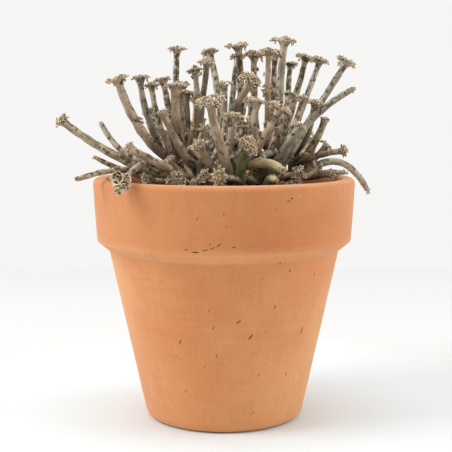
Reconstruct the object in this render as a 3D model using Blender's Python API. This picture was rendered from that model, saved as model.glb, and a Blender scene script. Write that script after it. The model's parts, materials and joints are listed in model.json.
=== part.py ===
"""A chandelier plant in a terracotta pot.

The plant is a small Kalanchoe with pencil-shaped leaves.  Eight short stems stand in sockets in
the potting mix, and each one carries whorls of three leaves.  Every leaf ends in a flared head,
where its plantlets grow, or in a plain rounded tip.

The origin is the middle of the pot's foot, on the surface that the pot stands on, and +Z is up.
Lengths are in metres; the tables of stems and leaves are in millimetres.
"""

import math

import bmesh
import bpy
import numpy as np

MM = 0.001
GAP = 0.0003  # clearance between pieces that touch

# Pot, turned about +Z
RIM_RADIUS = 0.075
POT_HEIGHT = 0.138
BAND_HEIGHT = 0.0355  # from the lip down to the band's lower corner
BAND_TAPER = 0.0022  # the band is narrower by this at its lower corner
BAND_CHAMFER = 0.0056  # height of the sloping underside of the band
BAND_OVERHANG = 0.0068  # how far the band stands out from the body
FOOT_RADIUS = 0.0448
WALL = 0.006
LIP_WALL = 0.0085
FLOOR = 0.007
DRAIN_RADIUS = 0.0075
LIP_ROUND = 0.0036
FOOT_ROUND = 0.006
INNER_ROUND = 0.008  # fillet where the wall meets the floor inside
POT_SIDES = 48
ARC_STEPS = 3

# Potting mix
SOIL_DROP = 0.0135  # from the lip down to the mix at the wall
SOIL_MOUND = 0.0025  # the mix stands this much higher in the middle

# Stems
STEM_RADIUS = 0.0034
STEM_TAPER = 0.8  # radius at the top as a share of the radius at the foot
STEM_SIDES = 10
SOCKET_DEPTH = 0.022  # how deep a stem goes into the mix
FIRST_WHORL = 0.0125  # height of the lowest whorl above the mix
WHORL_PITCH = 0.0085
WHORL_LEAVES = 3
STEM_CROWN = 0.005  # bare stem above the top whorl

# Leaves
LEAF_SIDES = 8
LEAF_STATIONS = 9  # rings from the foot of a leaf to its neck
HEAD_LENGTH = 0.0058
HEAD_SHARE = 0.72  # the fleshy flare under the plantlets, as a share of the head's radius
LEAF_FOOT_SHARE = 0.58  # half thickness at the foot as a share of the full half thickness
LEAF_NECK_SHARE = 0.80
LEAF_FULL_AT = 0.4  # share of the length at which a leaf is thickest
CURVE_STEPS = 60

# Spreading the leaves until none touch
LEAF_GAP = 0.0007  # clearance that the leaves are spread to
SPREAD_ROUNDS = 420
EVEN_OUT_UNTIL = 0.7  # share of the rounds in which a push is evened out twice
REFRESH_PAIRS = 15  # rounds between two looks for neighbouring segments
NEIGHBOUR_MARGIN = 0.006
LONGEST_STEP = 0.0015
KEEP_BEND = 0.3  # share of a lost bend that a round gives back
DEPTH_BIAS = 0.35  # crossing leaves part front to back, in the order of their tips
SPREAD_DEPTH_FIRST = (0.38, 1.0, 0.38)  # leaves give way front to back before sideways

TONES = {
    "grey": (0.33, 0.34, 0.27),
    "rosy": (0.36, 0.26, 0.21),
    "olive": (0.24, 0.23, 0.15),
}
TERRACOTTA = (0.58, 0.24, 0.11)
POTTING_MIX = (0.045, 0.030, 0.020)
STEM_BARK = (0.22, 0.17, 0.12)

# Stem name: x, y, then its leaves.  A leaf is its tip's x, y and height above the lip, its bow
# (+ sags outward, - arches over), its thickness, its head's radius (0 for a bare tip), its tone.
PLANT = {
    "left": (
        (-26, 0),
        [
            (-59, -18, 56, 5, 5.8, 5.5, "rosy"),
            (-47, -8, 57, 3.5, 4.3, 5.0, "grey"),
            (-42, 6, 53, 2, 3.8, 3.5, "olive"),
            (-36, 13, 56, -1, 4.3, 4.5, "rosy"),
            (-27, -12, 52, 3, 5.6, 5.5, "rosy"),
            (-72, 9, 32, 9, 4.2, 0, "grey"),
            (-74, -5, 12, 3, 3.9, 0, "olive"),
            (-79, -44, 1, -5.5, 3.8, 0, "rosy"),
            (-54, -63, 1, -9, 4.2, 4.5, "grey"),
        ],
    ),
    "left_front": (
        (-13, -27),
        [
            (-87, -47, 34, 4, 5.2, 4.5, "olive"),
            (-50, -58, 19, 0, 5.0, 4.2, "rosy"),
            (14, -43, 20, -1, 3.8, 5.5, "olive"),
            (-34, -35, 38, 0.5, 4.6, 3.2, "rosy"),
        ],
    ),
    "left_back": (
        (-19, 24),
        [
            (-21, 8, 49, 3, 4.0, 4.0, "olive"),
            (-28, 34, 75, 5, 4.5, 4.8, "grey"),
            (-17, 14, 62, 3, 4.0, 4.2, "olive"),
            (-10, 0, 66, 1.5, 4.2, 3.8, "rosy"),
            (15, -14, 56, 0, 5.0, 5.3, "rosy"),
            (-46, 50, 38, 3, 4.6, 4.6, "grey"),
            (-18, 62, 46, 3, 4.8, 5.0, "rosy"),
        ],
    ),
    "middle_back": (
        (3, 18),
        [
            (-9, 32, 73, -4, 4.6, 4.3, "grey"),
            (0, -6, 54, 3, 5.0, 4.0, "grey"),
            (8, 24, 76, 4, 4.6, 5.0, "olive"),
            (8, 44, 71, -4, 3.8, 3.0, "grey"),
            (-8, 58, 24, 2, 4.4, 4.2, "olive"),
            (13, 65, 52, 3, 4.8, 5.2, "rosy"),
        ],
    ),
    "middle_front": (
        (8, -31),
        [
            (-7, -56, 43, 2, 5.8, 6.8, "rosy"),
            (5, -30, 36, 0, 4.6, 4.5, "grey"),
            (-15, -50, 23, 2, 5.2, 5.0, "rosy"),
            (-3, -62, 4, -1, 4.0, 5.5, "grey"),
            (31, -30, 40, 0, 5.0, 6.0, "rosy"),
        ],
    ),
    "right_front": (
        (22, -15),
        [
            (45, -16, 47, 1, 4.6, 3.5, "olive"),
            (38, 4, 48, 1.5, 4.0, 4.3, "rosy"),
            (42, -36, 31, 0, 5.4, 4.5, "grey"),
            (18, -22, 43, 3, 4.6, 4.8, "rosy"),
            (74, -8, 51, -7, 4.6, 0, "grey"),
            (70, 5, 66, -1, 4.4, 5.0, "grey"),
        ],
    ),
    "right": (
        (39, 3),
        [
            (15, -35, 13, -3, 4.8, 0, "grey"),
            (58, -2, 34, 1, 5.0, 3.5, "olive"),
            (67, -22, 16, -1.5, 4.2, 4.0, "rosy"),
            (87, 32, -11, -14, 4.6, 0, "grey"),
            (61, -16, 3, 0, 4.2, 4.0, "rosy"),
            (52, 48, 20, 2, 4.4, 4.4, "rosy"),
        ],
    ),
    "right_back": (
        (26, 24),
        [
            (18, 30, 71, 2, 4.4, 6.0, "rosy"),
            (25, 10, 73, 0.5, 3.8, 3.8, "rosy"),
            (35, 18, 79, 0, 5.0, 6.0, "grey"),
            (41, 48, 67, 2.5, 4.0, 4.0, "grey"),
            (49, 36, 70, 1, 4.3, 5.0, "olive"),
            (57, 26, 68, 0, 4.2, 4.8, "grey"),
            (30, 62, 50, 3, 4.6, 5.0, "rosy"),
        ],
    ),
}


# ---------------------------------------------------------------- shapes


def add_object(name, verts, faces, colour, roughness, sharp_degrees=40):
    """Make a mesh object with its own Principled material, smooth but for its sharp edges."""
    mesh = bpy.data.meshes.new(name)
    mesh.from_pydata([tuple(v) for v in verts], [], faces)
    bm = bmesh.new()
    bm.from_mesh(mesh)
    bmesh.ops.recalc_face_normals(bm, faces=bm.faces)
    bm.to_mesh(mesh)
    bm.free()
    mesh.shade_smooth()
    mesh.set_sharp_from_angle(angle=math.radians(sharp_degrees))
    material = bpy.data.materials.new(name)
    material.use_nodes = True
    shader = material.node_tree.nodes["Principled BSDF"]
    shader.inputs["Base Color"].default_value = (*colour, 1.0)
    shader.inputs["Roughness"].default_value = roughness
    shader.inputs["Metallic"].default_value = 0.0
    mesh.materials.append(material)
    obj = bpy.data.objects.new(name, mesh)
    bpy.context.collection.objects.link(obj)
    return obj


def arc(centre, radius, start, end, steps=ARC_STEPS):
    """Points (r, z) on an arc about centre, from one angle in degrees to another."""
    angles = np.radians(np.linspace(start, end, steps + 1))
    return [(centre[0] + radius * math.cos(a), centre[1] + radius * math.sin(a)) for a in angles]


def band_faces(rings, sides, start=0):
    """Quads that join each ring of vertices to the next one."""
    faces = []
    for ring in range(rings - 1):
        for side in range(sides):
            a = start + ring * sides + side
            b = start + ring * sides + (side + 1) % sides
            faces.append((a, b, b + sides, a + sides))
    return faces


def turned(profile, sides):
    """Vertices of a profile of (r, z) points turned about +Z, ring by ring."""
    angles = 2 * math.pi * np.arange(sides) / sides
    rings = [
        np.column_stack([r * np.cos(angles), r * np.sin(angles), np.full(sides, z)])
        for r, z in profile
    ]
    return np.concatenate(rings)


def capped(rings, first_pole, last_pole):
    """Vertices and faces of a closed tube through rings, with a vertex closing each end."""
    count, sides, _ = rings.shape
    verts = np.concatenate([rings.reshape(-1, 3), [first_pole], [last_pole]])
    faces = band_faces(count, sides)
    foot, tip = count * sides, count * sides + 1
    top = (count - 1) * sides
    for side in range(sides):
        after = (side + 1) % sides
        faces.append((after, side, foot))
        faces.append((top + side, top + after, tip))
    return verts, faces


# ---------------------------------------------------------------- pot and mix

BAND_BOTTOM = POT_HEIGHT - BAND_HEIGHT
BODY_TOP = BAND_BOTTOM - BAND_CHAMFER
BODY_TOP_RADIUS = RIM_RADIUS - BAND_TAPER - BAND_OVERHANG
SHOULDER = BODY_TOP + 2 * BAND_CHAMFER  # where the inside reaches the lip's own radius
LIP_INNER_RADIUS = RIM_RADIUS - LIP_WALL
SOIL_EDGE = POT_HEIGHT - SOIL_DROP
SOIL_TOP = SOIL_EDGE + SOIL_MOUND


def body_radius(z):
    """Outer radius of the pot's body at height z, on the straight line from foot to band."""
    return FOOT_RADIUS + (BODY_TOP_RADIUS - FOOT_RADIUS) * z / BODY_TOP


def inner_radius(z):
    """Radius inside the pot at height z below the band, where the wall is even."""
    return body_radius(z) - WALL


def pot():
    """The pot as one turned wall, closed through its drain hole."""
    lip = POT_HEIGHT - LIP_ROUND
    slope = math.degrees(math.atan2(BODY_TOP, BODY_TOP_RADIUS - FOOT_RADIUS))
    corner = INNER_ROUND * math.tan(math.radians(slope / 2))
    inside = inner_radius(FLOOR) - corner
    profile = [
        *arc((RIM_RADIUS - LIP_ROUND, lip), LIP_ROUND, 90, 0),
        (RIM_RADIUS - BAND_TAPER, BAND_BOTTOM),
        (BODY_TOP_RADIUS, BODY_TOP),
        *arc((body_radius(FOOT_ROUND) - FOOT_ROUND, FOOT_ROUND), FOOT_ROUND, 0, -90),
        (DRAIN_RADIUS, 0.0),
        (DRAIN_RADIUS, FLOOR),
        *arc((inside, FLOOR + INNER_ROUND), INNER_ROUND, -90, slope - 90),
        (inner_radius(BODY_TOP), BODY_TOP),
        (LIP_INNER_RADIUS, SHOULDER),
        *arc((LIP_INNER_RADIUS + LIP_ROUND, lip), LIP_ROUND, 180, 90),
    ]
    verts = turned(profile, POT_SIDES)
    rings = len(profile)
    faces = band_faces(rings, POT_SIDES)
    last = (rings - 1) * POT_SIDES
    for side in range(POT_SIDES):
        after = (side + 1) % POT_SIDES
        faces.append((last + side, last + after, after, side))
    return add_object("pot", verts, faces, TERRACOTTA, 0.85)


def soil():
    """The potting mix: it fills the pot to just below the lip, with a socket for each stem."""
    foot = FLOOR + GAP + INNER_ROUND
    bottom = inner_radius(foot) - INNER_ROUND
    profile = [
        (bottom, FLOOR + GAP),
        (inner_radius(foot) - GAP, foot),
        (inner_radius(BODY_TOP) - GAP, BODY_TOP),
        (LIP_INNER_RADIUS - GAP, SHOULDER + GAP),
        (LIP_INNER_RADIUS - GAP, SOIL_EDGE),
        (LIP_INNER_RADIUS * 0.75, SOIL_EDGE + SOIL_MOUND * 0.6),
    ]
    rings = turned(profile, POT_SIDES).reshape(len(profile), POT_SIDES, 3)
    verts, faces = capped(rings, (0, 0, FLOOR + GAP), (0, 0, SOIL_TOP))
    mix = add_object("potting_mix", verts, faces, POTTING_MIX, 0.95)
    for name, (place, _) in PLANT.items():
        bpy.ops.mesh.primitive_cylinder_add(
            vertices=STEM_SIDES,
            radius=STEM_RADIUS + GAP,
            depth=2 * SOCKET_DEPTH,
            location=(place[0] * MM, place[1] * MM, SOIL_EDGE),
        )
        cutter = bpy.context.object
        cutter.name = f"socket_{name}"
        cutter.hide_render = True
        cutter.display_type = "WIRE"
        cut = mix.modifiers.new(cutter.name, "BOOLEAN")
        cut.operation = "DIFFERENCE"
        cut.object = cutter
    return mix


# ---------------------------------------------------------------- stems


def whorl_count(leaves):
    """How many whorls a stem needs for its leaves."""
    return math.ceil(len(leaves) / WHORL_LEAVES)


def stem_top(leaves):
    """Height of the top of a stem that carries these leaves."""
    return SOIL_EDGE + FIRST_WHORL + WHORL_PITCH * (whorl_count(leaves) - 1) + STEM_CROWN


def stem(name, place, leaves):
    """A short upright stem, from the bottom of its socket to its crown."""
    foot = SOIL_EDGE - SOCKET_DEPTH + GAP
    top = stem_top(leaves)
    angles = 2 * math.pi * np.arange(STEM_SIDES) / STEM_SIDES
    rings = []
    for z, share in ((foot, 1.0), (SOIL_TOP, 1.0), (top - STEM_RADIUS, STEM_TAPER), (top, 0.45)):
        r = STEM_RADIUS * share
        x = place[0] * MM + r * np.sin(angles)
        y = place[1] * MM + r * np.cos(angles)
        rings.append(np.column_stack([x, y, np.full(STEM_SIDES, z)]))
    centre = (place[0] * MM, place[1] * MM)
    verts, faces = capped(np.array(rings), (*centre, foot), (*centre, top + STEM_RADIUS * 0.2))
    return add_object(f"stem_{name}", verts, faces, STEM_BARK, 0.9)


# ---------------------------------------------------------------- leaves


def stations(length):
    """Distances along a leaf where its rings lie: foot to neck, then the head."""
    neck = length - HEAD_LENGTH
    body = np.linspace(0.0, neck, LEAF_STATIONS)
    return np.concatenate([body, [neck + HEAD_LENGTH * 0.6, neck + HEAD_LENGTH]])


def ring_radii(half, head_radius):
    """Half thickness at each ring: a slim foot, a full body, a narrower neck, a flared head."""
    t = np.linspace(0.0, 1.0, LEAF_STATIONS)
    rise = np.sin(np.minimum(t / LEAF_FULL_AT, 1) * math.pi / 2)
    swell = LEAF_FOOT_SHARE + (1 - LEAF_FOOT_SHARE) * rise
    taper = 1 - (1 - LEAF_NECK_SHARE) * np.clip((t - LEAF_FULL_AT) / (1 - LEAF_FULL_AT), 0, 1)
    if head_radius > 0:
        head = [head_radius * HEAD_SHARE, head_radius * HEAD_SHARE * 0.92]
    else:
        head = [half * LEAF_NECK_SHARE * 0.85, half * LEAF_NECK_SHARE * 0.45]
    return np.concatenate([half * swell * taper, head])


def leaf_axis(foot, tip, bow):
    """Points along a leaf's bowed axis, a quadratic curve from foot to tip.

    The curve's middle is off the straight line by bow, square to that line and in the upright
    plane that holds it; a positive bow is outward and down.
    """
    chord = (tip - foot) / np.linalg.norm(tip - foot)
    down = np.array([0.0, 0.0, -1.0]) + chord * chord[2]
    control = (foot + tip) / 2 + 2 * bow * down / np.linalg.norm(down)
    t = np.linspace(0.0, 1.0, CURVE_STEPS)[:, None]
    curve = (1 - t) ** 2 * foot + 2 * t * (1 - t) * control + t**2 * tip
    travelled = np.concatenate([[0.0], np.cumsum(np.linalg.norm(np.diff(curve, axis=0), axis=1))])
    wanted = stations(travelled[-1])
    return np.column_stack([np.interp(wanted, travelled, curve[:, k]) for k in range(3)])


def seated_leaves():
    """Every leaf on its whorl: the flattest at the foot of the stem, the steepest at the top.

    Returns the leaves' names, tones, axes (leaf, ring, xyz), radii (leaf, ring), the xy of each
    leaf's stem and the distance of each leaf's foot from it.
    """
    names, tones, axes, radii, stems, reaches = [], [], [], [], [], []
    for stem_name, (place, leaves) in PLANT.items():
        base = np.array(place) * MM
        flattest_first = sorted(
            range(len(leaves)),
            key=lambda n: leaves[n][2] / math.dist(leaves[n][:2], place),
        )
        for order, number in enumerate(flattest_first):
            x, y, rise, bow, thickness, head, tone = leaves[number]
            tip = np.array([x * MM, y * MM, POT_HEIGHT + rise * MM])
            half = thickness * MM / 2
            z = SOIL_EDGE + FIRST_WHORL + WHORL_PITCH * (order // WHORL_LEAVES)
            outward = (tip[:2] - base) / np.linalg.norm(tip[:2] - base)
            slope = math.atan2(tip[2] - z, np.linalg.norm(tip[:2] - base))
            reach = STEM_RADIUS + GAP + half * LEAF_FOOT_SHARE * (0.3 + math.sin(abs(slope)))
            foot = np.array([*(base + outward * reach), z])
            names.append(f"leaf_{stem_name}_{number + 1}")
            tones.append(tone)
            axes.append(leaf_axis(foot, tip, bow * MM))
            radii.append(ring_radii(half, head * MM))
            stems.append(base)
            reaches.append(reach)
    return names, tones, np.array(axes), np.array(radii), np.array(stems), np.array(reaches)


def closest(p, q, r, s):
    """Where segments p-q and r-s come closest, as shares (0 to 1) along each of them."""
    d1, d2, w = q - p, s - r, p - r
    a = (d1 * d1).sum(-1)
    e = (d2 * d2).sum(-1)
    b = (d1 * d2).sum(-1)
    c = (d1 * w).sum(-1)
    f = (d2 * w).sum(-1)
    spread = a * e - b * b
    parallel = spread < 1e-6 * a * e
    along = np.clip(np.where(parallel, 0.5, (b * f - c * e) / np.where(parallel, 1, spread)), 0, 1)
    across = np.clip((b * along + f) / e, 0, 1)
    along = np.clip((b * across - c) / a, 0, 1)
    return along, across


def near_pairs(axes, reach):
    """Pairs of leaf segments of different leaves whose middles are within reach."""
    leaves, rings, _ = axes.shape
    middle = ((axes[:, 1:] + axes[:, :-1]) / 2).reshape(-1, 3)
    owner = np.repeat(np.arange(leaves), rings - 1)
    first, second = np.triu_indices(len(middle), 1)
    near = ((middle[first] - middle[second]) ** 2).sum(-1) < reach**2
    keep = near & (owner[first] != owner[second])
    return first[keep], second[keep]


def push_apart(axes, radii, pairs, move):
    """Add to move what parts each pair of segments that is closer than LEAF_GAP."""
    rings = axes.shape[1]
    leaf_a, ring_a = np.divmod(pairs[0], rings - 1)
    leaf_b, ring_b = np.divmod(pairs[1], rings - 1)
    along, across = closest(
        axes[leaf_a, ring_a],
        axes[leaf_a, ring_a + 1],
        axes[leaf_b, ring_b],
        axes[leaf_b, ring_b + 1],
    )
    at_a = axes[leaf_a, ring_a] * (1 - along[:, None]) + axes[leaf_a, ring_a + 1] * along[:, None]
    at_b = axes[leaf_b, ring_b] * (1 - across[:, None]) + axes[leaf_b, ring_b + 1] * across[:, None]
    apart = at_a - at_b
    distance = np.linalg.norm(apart, axis=1)
    widest_a = np.maximum(radii[leaf_a, ring_a], radii[leaf_a, ring_a + 1])
    widest_b = np.maximum(radii[leaf_b, ring_b], radii[leaf_b, ring_b + 1])
    lack = widest_a + widest_b + LEAF_GAP - distance
    tight = lack > 0
    way = apart / np.maximum(distance, 1e-9)[:, None]
    side = np.where(axes[leaf_a, -1, 1] >= axes[leaf_b, -1, 1], 1.0, -1.0)
    way[:, 1] += DEPTH_BIAS * side
    way *= np.array(SPREAD_DEPTH_FIRST)
    way /= np.linalg.norm(way, axis=1)[:, None]
    push = 0.5 * lack[:, None] * way
    for leaf, ring, share, sign in ((leaf_a, ring_a, along, 1), (leaf_b, ring_b, across, -1)):
        for step, weight in ((0, 1 - share), (1, share)):
            np.add.at(move, (leaf[tight], ring[tight] + step), (sign * push * weight[:, None])[tight])


def push_off_stems(axes, radii, stems, move):
    """Add to move what keeps each ring clear of every stem but near its own one's side."""
    for place, leaves in PLANT.values():
        base = np.array(place) * MM
        offset = axes[..., :2] - base
        distance = np.linalg.norm(offset, axis=-1)
        below = axes[..., 2] - radii < stem_top(leaves) + GAP
        own = np.linalg.norm(stems - base, axis=1) < GAP
        room = STEM_RADIUS + LEAF_GAP + radii
        room[own, :2] = STEM_RADIUS + GAP
        lack = np.where(below, np.maximum(room - distance, 0), 0)
        move[..., :2] += offset / np.maximum(distance, 1e-9)[..., None] * lack[..., None]


def push_off_pot(axes, radii, move):
    """Add to move what lifts leaves off the mix and the lip, and keeps them off the wall."""
    out = np.linalg.norm(axes[..., :2], axis=-1)
    inside = out < LIP_INNER_RADIUS
    room = radii + LEAF_GAP
    move[..., 2] += np.where(inside, np.maximum(SOIL_TOP + room - axes[..., 2], 0), 0)
    # The wall's section is a box; the nearest way out of it is up, inward or outward.
    over = POT_HEIGHT + room - axes[..., 2]
    inward = out - (LIP_INNER_RADIUS - room)
    outward = (RIM_RADIUS + room) - out
    caught = (over > 0) & (inward > 0) & (outward > 0)
    nearest = np.minimum(np.minimum(over, inward), outward)
    up = caught & (nearest == over)
    radial = np.where(caught & ~up, np.where(inward < outward, -inward, outward), 0)
    move[..., 2] += np.where(up, over, 0)
    move[..., :2] += axes[..., :2] / np.maximum(out, 1e-9)[..., None] * radial[..., None]


def spread(axes, radii, stems, reaches):
    """Part the leaves from each other, the stems and the pot, keeping each leaf's own bend.

    Each round pushes overlapping segments apart, evens the push out along the leaf, draws the
    leaf back to the bend that it started with, and puts its foot back against its stem.
    """
    axes = axes.copy()
    bend = axes[:, 1:-1] - (axes[:, :-2] + axes[:, 2:]) / 2
    spacing = np.linalg.norm(np.diff(axes, axis=1), axis=2)
    heights = axes[:, 0, 2].copy()
    for turn in range(SPREAD_ROUNDS):
        if turn % REFRESH_PAIRS == 0:
            pairs = near_pairs(axes, spacing.max() + 2 * radii.max() + NEIGHBOUR_MARGIN)
        move = np.zeros_like(axes)
        push_apart(axes, radii, pairs, move)
        push_off_stems(axes, radii, stems, move)
        push_off_pot(axes, radii, move)
        for _ in range(2 if turn < SPREAD_ROUNDS * EVEN_OUT_UNTIL else 1):
            padded = np.concatenate([move[:, :1], move, move[:, -1:]], axis=1)
            move = 0.25 * padded[:, :-2] + 0.5 * padded[:, 1:-1] + 0.25 * padded[:, 2:]
        axes += np.clip(move, -LONGEST_STEP, LONGEST_STEP)
        sway = axes[:, 1:-1] - (axes[:, :-2] + axes[:, 2:]) / 2 - bend
        axes[:, 1:-1] -= KEEP_BEND * sway
        for ring in range(1, axes.shape[1]):
            step = axes[:, ring] - axes[:, ring - 1]
            long = np.linalg.norm(step, axis=1)[:, None]
            axes[:, ring] = axes[:, ring - 1] + step / long * spacing[:, ring - 1, None]
        out = axes[:, 0, :2] - stems
        axes[:, 0, :2] = stems + out / np.linalg.norm(out, axis=1)[:, None] * reaches[:, None]
        axes[:, 0, 2] = heights
    return axes


def leaf(name, tone, axis, radii):
    """A leaf as a closed tube about its axis, with frames carried along it without a twist."""
    tangents = np.gradient(axis, axis=0)
    tangents /= np.linalg.norm(tangents, axis=1)[:, None]
    normal = np.cross(tangents[0], (0.31, 0.95, 0.0))
    angles = 2 * math.pi * np.arange(LEAF_SIDES) / LEAF_SIDES
    rings = []
    for point, tangent, radius in zip(axis, tangents, radii):
        normal = normal - tangent * (normal @ tangent)
        normal /= np.linalg.norm(normal)
        side = np.cross(tangent, normal)
        around = np.cos(angles)[:, None] * normal + np.sin(angles)[:, None] * side
        rings.append(point + radius * around)
    foot = axis[0] - tangents[0] * radii[0] * 0.3
    tip = axis[-1] + tangents[-1] * radii[-1] * 0.25
    verts, faces = capped(np.array(rings), foot, tip)
    return add_object(name, verts, faces, TONES[tone], 0.6)


def main():
    """Empty the scene and build the pot, the mix, the stems and the leaves."""
    for obj in list(bpy.data.objects):
        bpy.data.objects.remove(obj)
    pot()
    soil()
    for name, (place, leaves) in PLANT.items():
        stem(name, place, leaves)
    names, tones, axes, radii, stems, reaches = seated_leaves()
    axes = spread(axes, radii, stems, reaches)
    for name, tone, axis, radius in zip(names, tones, axes, radii):
        leaf(name, tone, axis, radius)


main()
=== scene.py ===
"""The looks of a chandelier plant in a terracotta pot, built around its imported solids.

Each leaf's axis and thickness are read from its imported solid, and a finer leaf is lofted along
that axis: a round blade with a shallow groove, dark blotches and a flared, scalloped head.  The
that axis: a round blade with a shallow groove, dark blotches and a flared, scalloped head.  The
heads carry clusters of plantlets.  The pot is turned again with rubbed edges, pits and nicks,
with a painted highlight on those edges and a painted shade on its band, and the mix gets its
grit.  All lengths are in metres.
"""

import json
import logging
import math
from dataclasses import dataclass
from enum import Enum

import bpy
import numpy as np
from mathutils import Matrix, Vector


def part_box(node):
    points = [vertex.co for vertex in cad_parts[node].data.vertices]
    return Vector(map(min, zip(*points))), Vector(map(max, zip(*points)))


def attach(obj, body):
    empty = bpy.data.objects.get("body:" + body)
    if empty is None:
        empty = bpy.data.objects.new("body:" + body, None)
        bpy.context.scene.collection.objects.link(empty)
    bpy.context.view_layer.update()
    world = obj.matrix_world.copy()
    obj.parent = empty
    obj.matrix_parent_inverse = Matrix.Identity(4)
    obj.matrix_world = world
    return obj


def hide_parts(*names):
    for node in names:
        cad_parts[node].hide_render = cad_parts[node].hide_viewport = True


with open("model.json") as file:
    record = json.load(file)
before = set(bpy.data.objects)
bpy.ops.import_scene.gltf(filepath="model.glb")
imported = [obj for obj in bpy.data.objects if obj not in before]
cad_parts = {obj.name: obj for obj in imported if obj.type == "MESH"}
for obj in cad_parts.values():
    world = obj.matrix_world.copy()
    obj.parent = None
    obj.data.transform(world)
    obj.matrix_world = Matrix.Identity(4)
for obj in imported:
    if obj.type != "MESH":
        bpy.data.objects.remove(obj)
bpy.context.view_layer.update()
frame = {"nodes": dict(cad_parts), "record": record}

BODY = "root"
LOG = logging.getLogger("plant")
Colour = tuple[float, float, float]  # linear red, green and blue
Place = tuple[float, float, float]
Span = tuple[float, float]  # the least and the most of a random draw
Mesh = tuple[np.ndarray, list[np.ndarray], dict[str, np.ndarray]]  # vertices, faces, attributes


# ---------------------------------------------------------------- shader tools


class Wire:
    """A shader socket that takes part in Python arithmetic, which adds its Math nodes."""

    def __init__(self, shader: "Shader", socket: bpy.types.NodeSocket) -> None:
        """Wrap an output socket of a node in shader."""
        self.shader = shader
        self.socket = socket

    def maths(self, operation: str, *values: "Wire | float") -> "Wire":
        """Return the result of one Math operation on these values, in their order."""
        return self.shader.add("ShaderNodeMath", {"operation": operation}, dict(enumerate(values)))

    def __add__(self, other: "Wire | float") -> "Wire":
        """Return self + other."""
        return self.maths("ADD", self, other)

    def __sub__(self, other: "Wire | float") -> "Wire":
        """Return self - other."""
        return self.maths("SUBTRACT", self, other)

    def __rsub__(self, other: float) -> "Wire":
        """Return other - self."""
        return self.maths("SUBTRACT", other, self)

    def __mul__(self, other: "Wire | float") -> "Wire":
        """Return self * other."""
        return self.maths("MULTIPLY", self, other)

    __radd__, __rmul__ = __add__, __mul__

    def between(self, low: float, high: float) -> "Wire":
        """Return 0 below low, 1 above high and a smooth step between; low may be the larger."""
        settings = {"interpolation_type": "SMOOTHSTEP"}
        values = {0: self, 1: min(low, high), 2: max(low, high)}
        step = self.shader.add("ShaderNodeMapRange", settings, values)
        return step if low < high else 1 - step


class Shader:
    """A node tree, with one method that makes any node and a few that use it."""

    def __init__(self, tree: bpy.types.NodeTree) -> None:
        """Take a tree to fill."""
        self.tree = tree

    def add(self, kind: str, settings: dict, values: dict, output: str | int = 0) -> Wire:
        """Make one node.

        Args:
            kind: the node's type.
            settings: its properties, set first.
            values: numbers, colours or Wires for its sockets, by name or number.
            output: the name or number of the output to return.
        Returns:
            That output as a Wire.
        """
        node = self.tree.nodes.new(kind)
        for name, value in settings.items():
            setattr(node, name, value)
        for name, value in values.items():
            self.feed(node.inputs[name], value)
        return Wire(self, node.outputs[output])

    def feed(self, socket: bpy.types.NodeSocket, value: "Wire | float | tuple") -> None:
        """Link a Wire to a socket, or set the socket's own value."""
        if isinstance(value, Wire):
            self.tree.links.new(value.socket, socket)
        else:
            socket.default_value = (*value, 1.0) if socket.type == "RGBA" else value

    def attribute(self, name: str) -> list[Wire]:
        """Return the three parts of a mesh attribute."""
        return self.split(self.add("ShaderNodeAttribute", {"attribute_name": name}, {}, "Vector"))

    def split(self, vector: Wire) -> list[Wire]:
        """Return a vector's three parts."""
        parts = self.add("ShaderNodeSeparateXYZ", {}, {0: vector})
        return [Wire(self, socket) for socket in parts.socket.node.outputs]

    def object_coordinates(self) -> Wire:
        """Return the piece's own coordinates, in metres."""
        return self.add("ShaderNodeTexCoord", {}, {}, "Object")

    def noise(
        self,
        vector: Wire,
        scale: float,
        detail: float = 3.0,
        rough: float = 0.5,
        stretch: tuple[float, float, float] | None = None,
    ) -> Wire:
        """Return noise of about one lump per 1 / scale metres, from 0 to 1 about 0.5.

        Args:
            vector: the place.
            scale: lumps per metre.
            detail, rough: how many finer layers there are, and how strong.
            stretch: factors of the place's three parts; a small one draws the lumps out.
        Returns:
            The noise.
        """
        if stretch:
            multiply = {"operation": "MULTIPLY"}
            vector = self.add("ShaderNodeVectorMath", multiply, {0: vector, 1: stretch})
        values = {"Vector": vector, "Scale": scale, "Detail": detail, "Roughness": rough}
        return self.add("ShaderNodeTexNoise", {}, values)

    def cells(self, vector: Wire, scale: float) -> Wire:
        """Return the distance to the nearest of scattered points, scale of them per metre."""
        values = {"Vector": vector, "Scale": scale}
        return self.add("ShaderNodeTexVoronoi", {}, values, "Distance")

    def coats(self, colour: Wire | Colour, *coats: tuple[Wire | float, Wire | Colour]) -> Wire:
        """Return a colour with coats of (share, colour) laid over it, each over the last."""
        for share, coat in coats:
            values = {0: share, 6: colour, 7: coat}
            colour = self.add("ShaderNodeMix", {"data_type": "RGBA"}, values, 2)
        return colour

    def tint(self, colour: Wire, by: Wire | float) -> Wire:
        """Return a colour made lighter or darker by a factor."""
        return self.add("ShaderNodeVectorMath", {"operation": "SCALE"}, {0: colour, "Scale": by})

    def bump(self, height: Wire, distance: float, strength: float) -> Wire:
        """Return normals tilted by a height map whose full range stands distance metres high."""
        values = {"Height": height, "Distance": distance, "Strength": strength}
        return self.add("ShaderNodeBump", {}, values)


class Surface(Shader):
    """The node tree of a new material."""

    def __init__(self, name: str) -> None:
        """Make a node material of this name with its Principled shader."""
        self.material = bpy.data.materials.new(name)
        self.material.use_nodes = True
        super().__init__(self.material.node_tree)

    def finish(self, **sockets: "Wire | float | Colour") -> bpy.types.Material:
        """Feed the Principled shader; an underscore in a name stands for a space."""
        for name, value in sockets.items():
            self.feed(self.tree.nodes["Principled BSDF"].inputs[name.replace("_", " ")], value)
        return self.material


# ---------------------------------------------------------------- mesh tools


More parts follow.
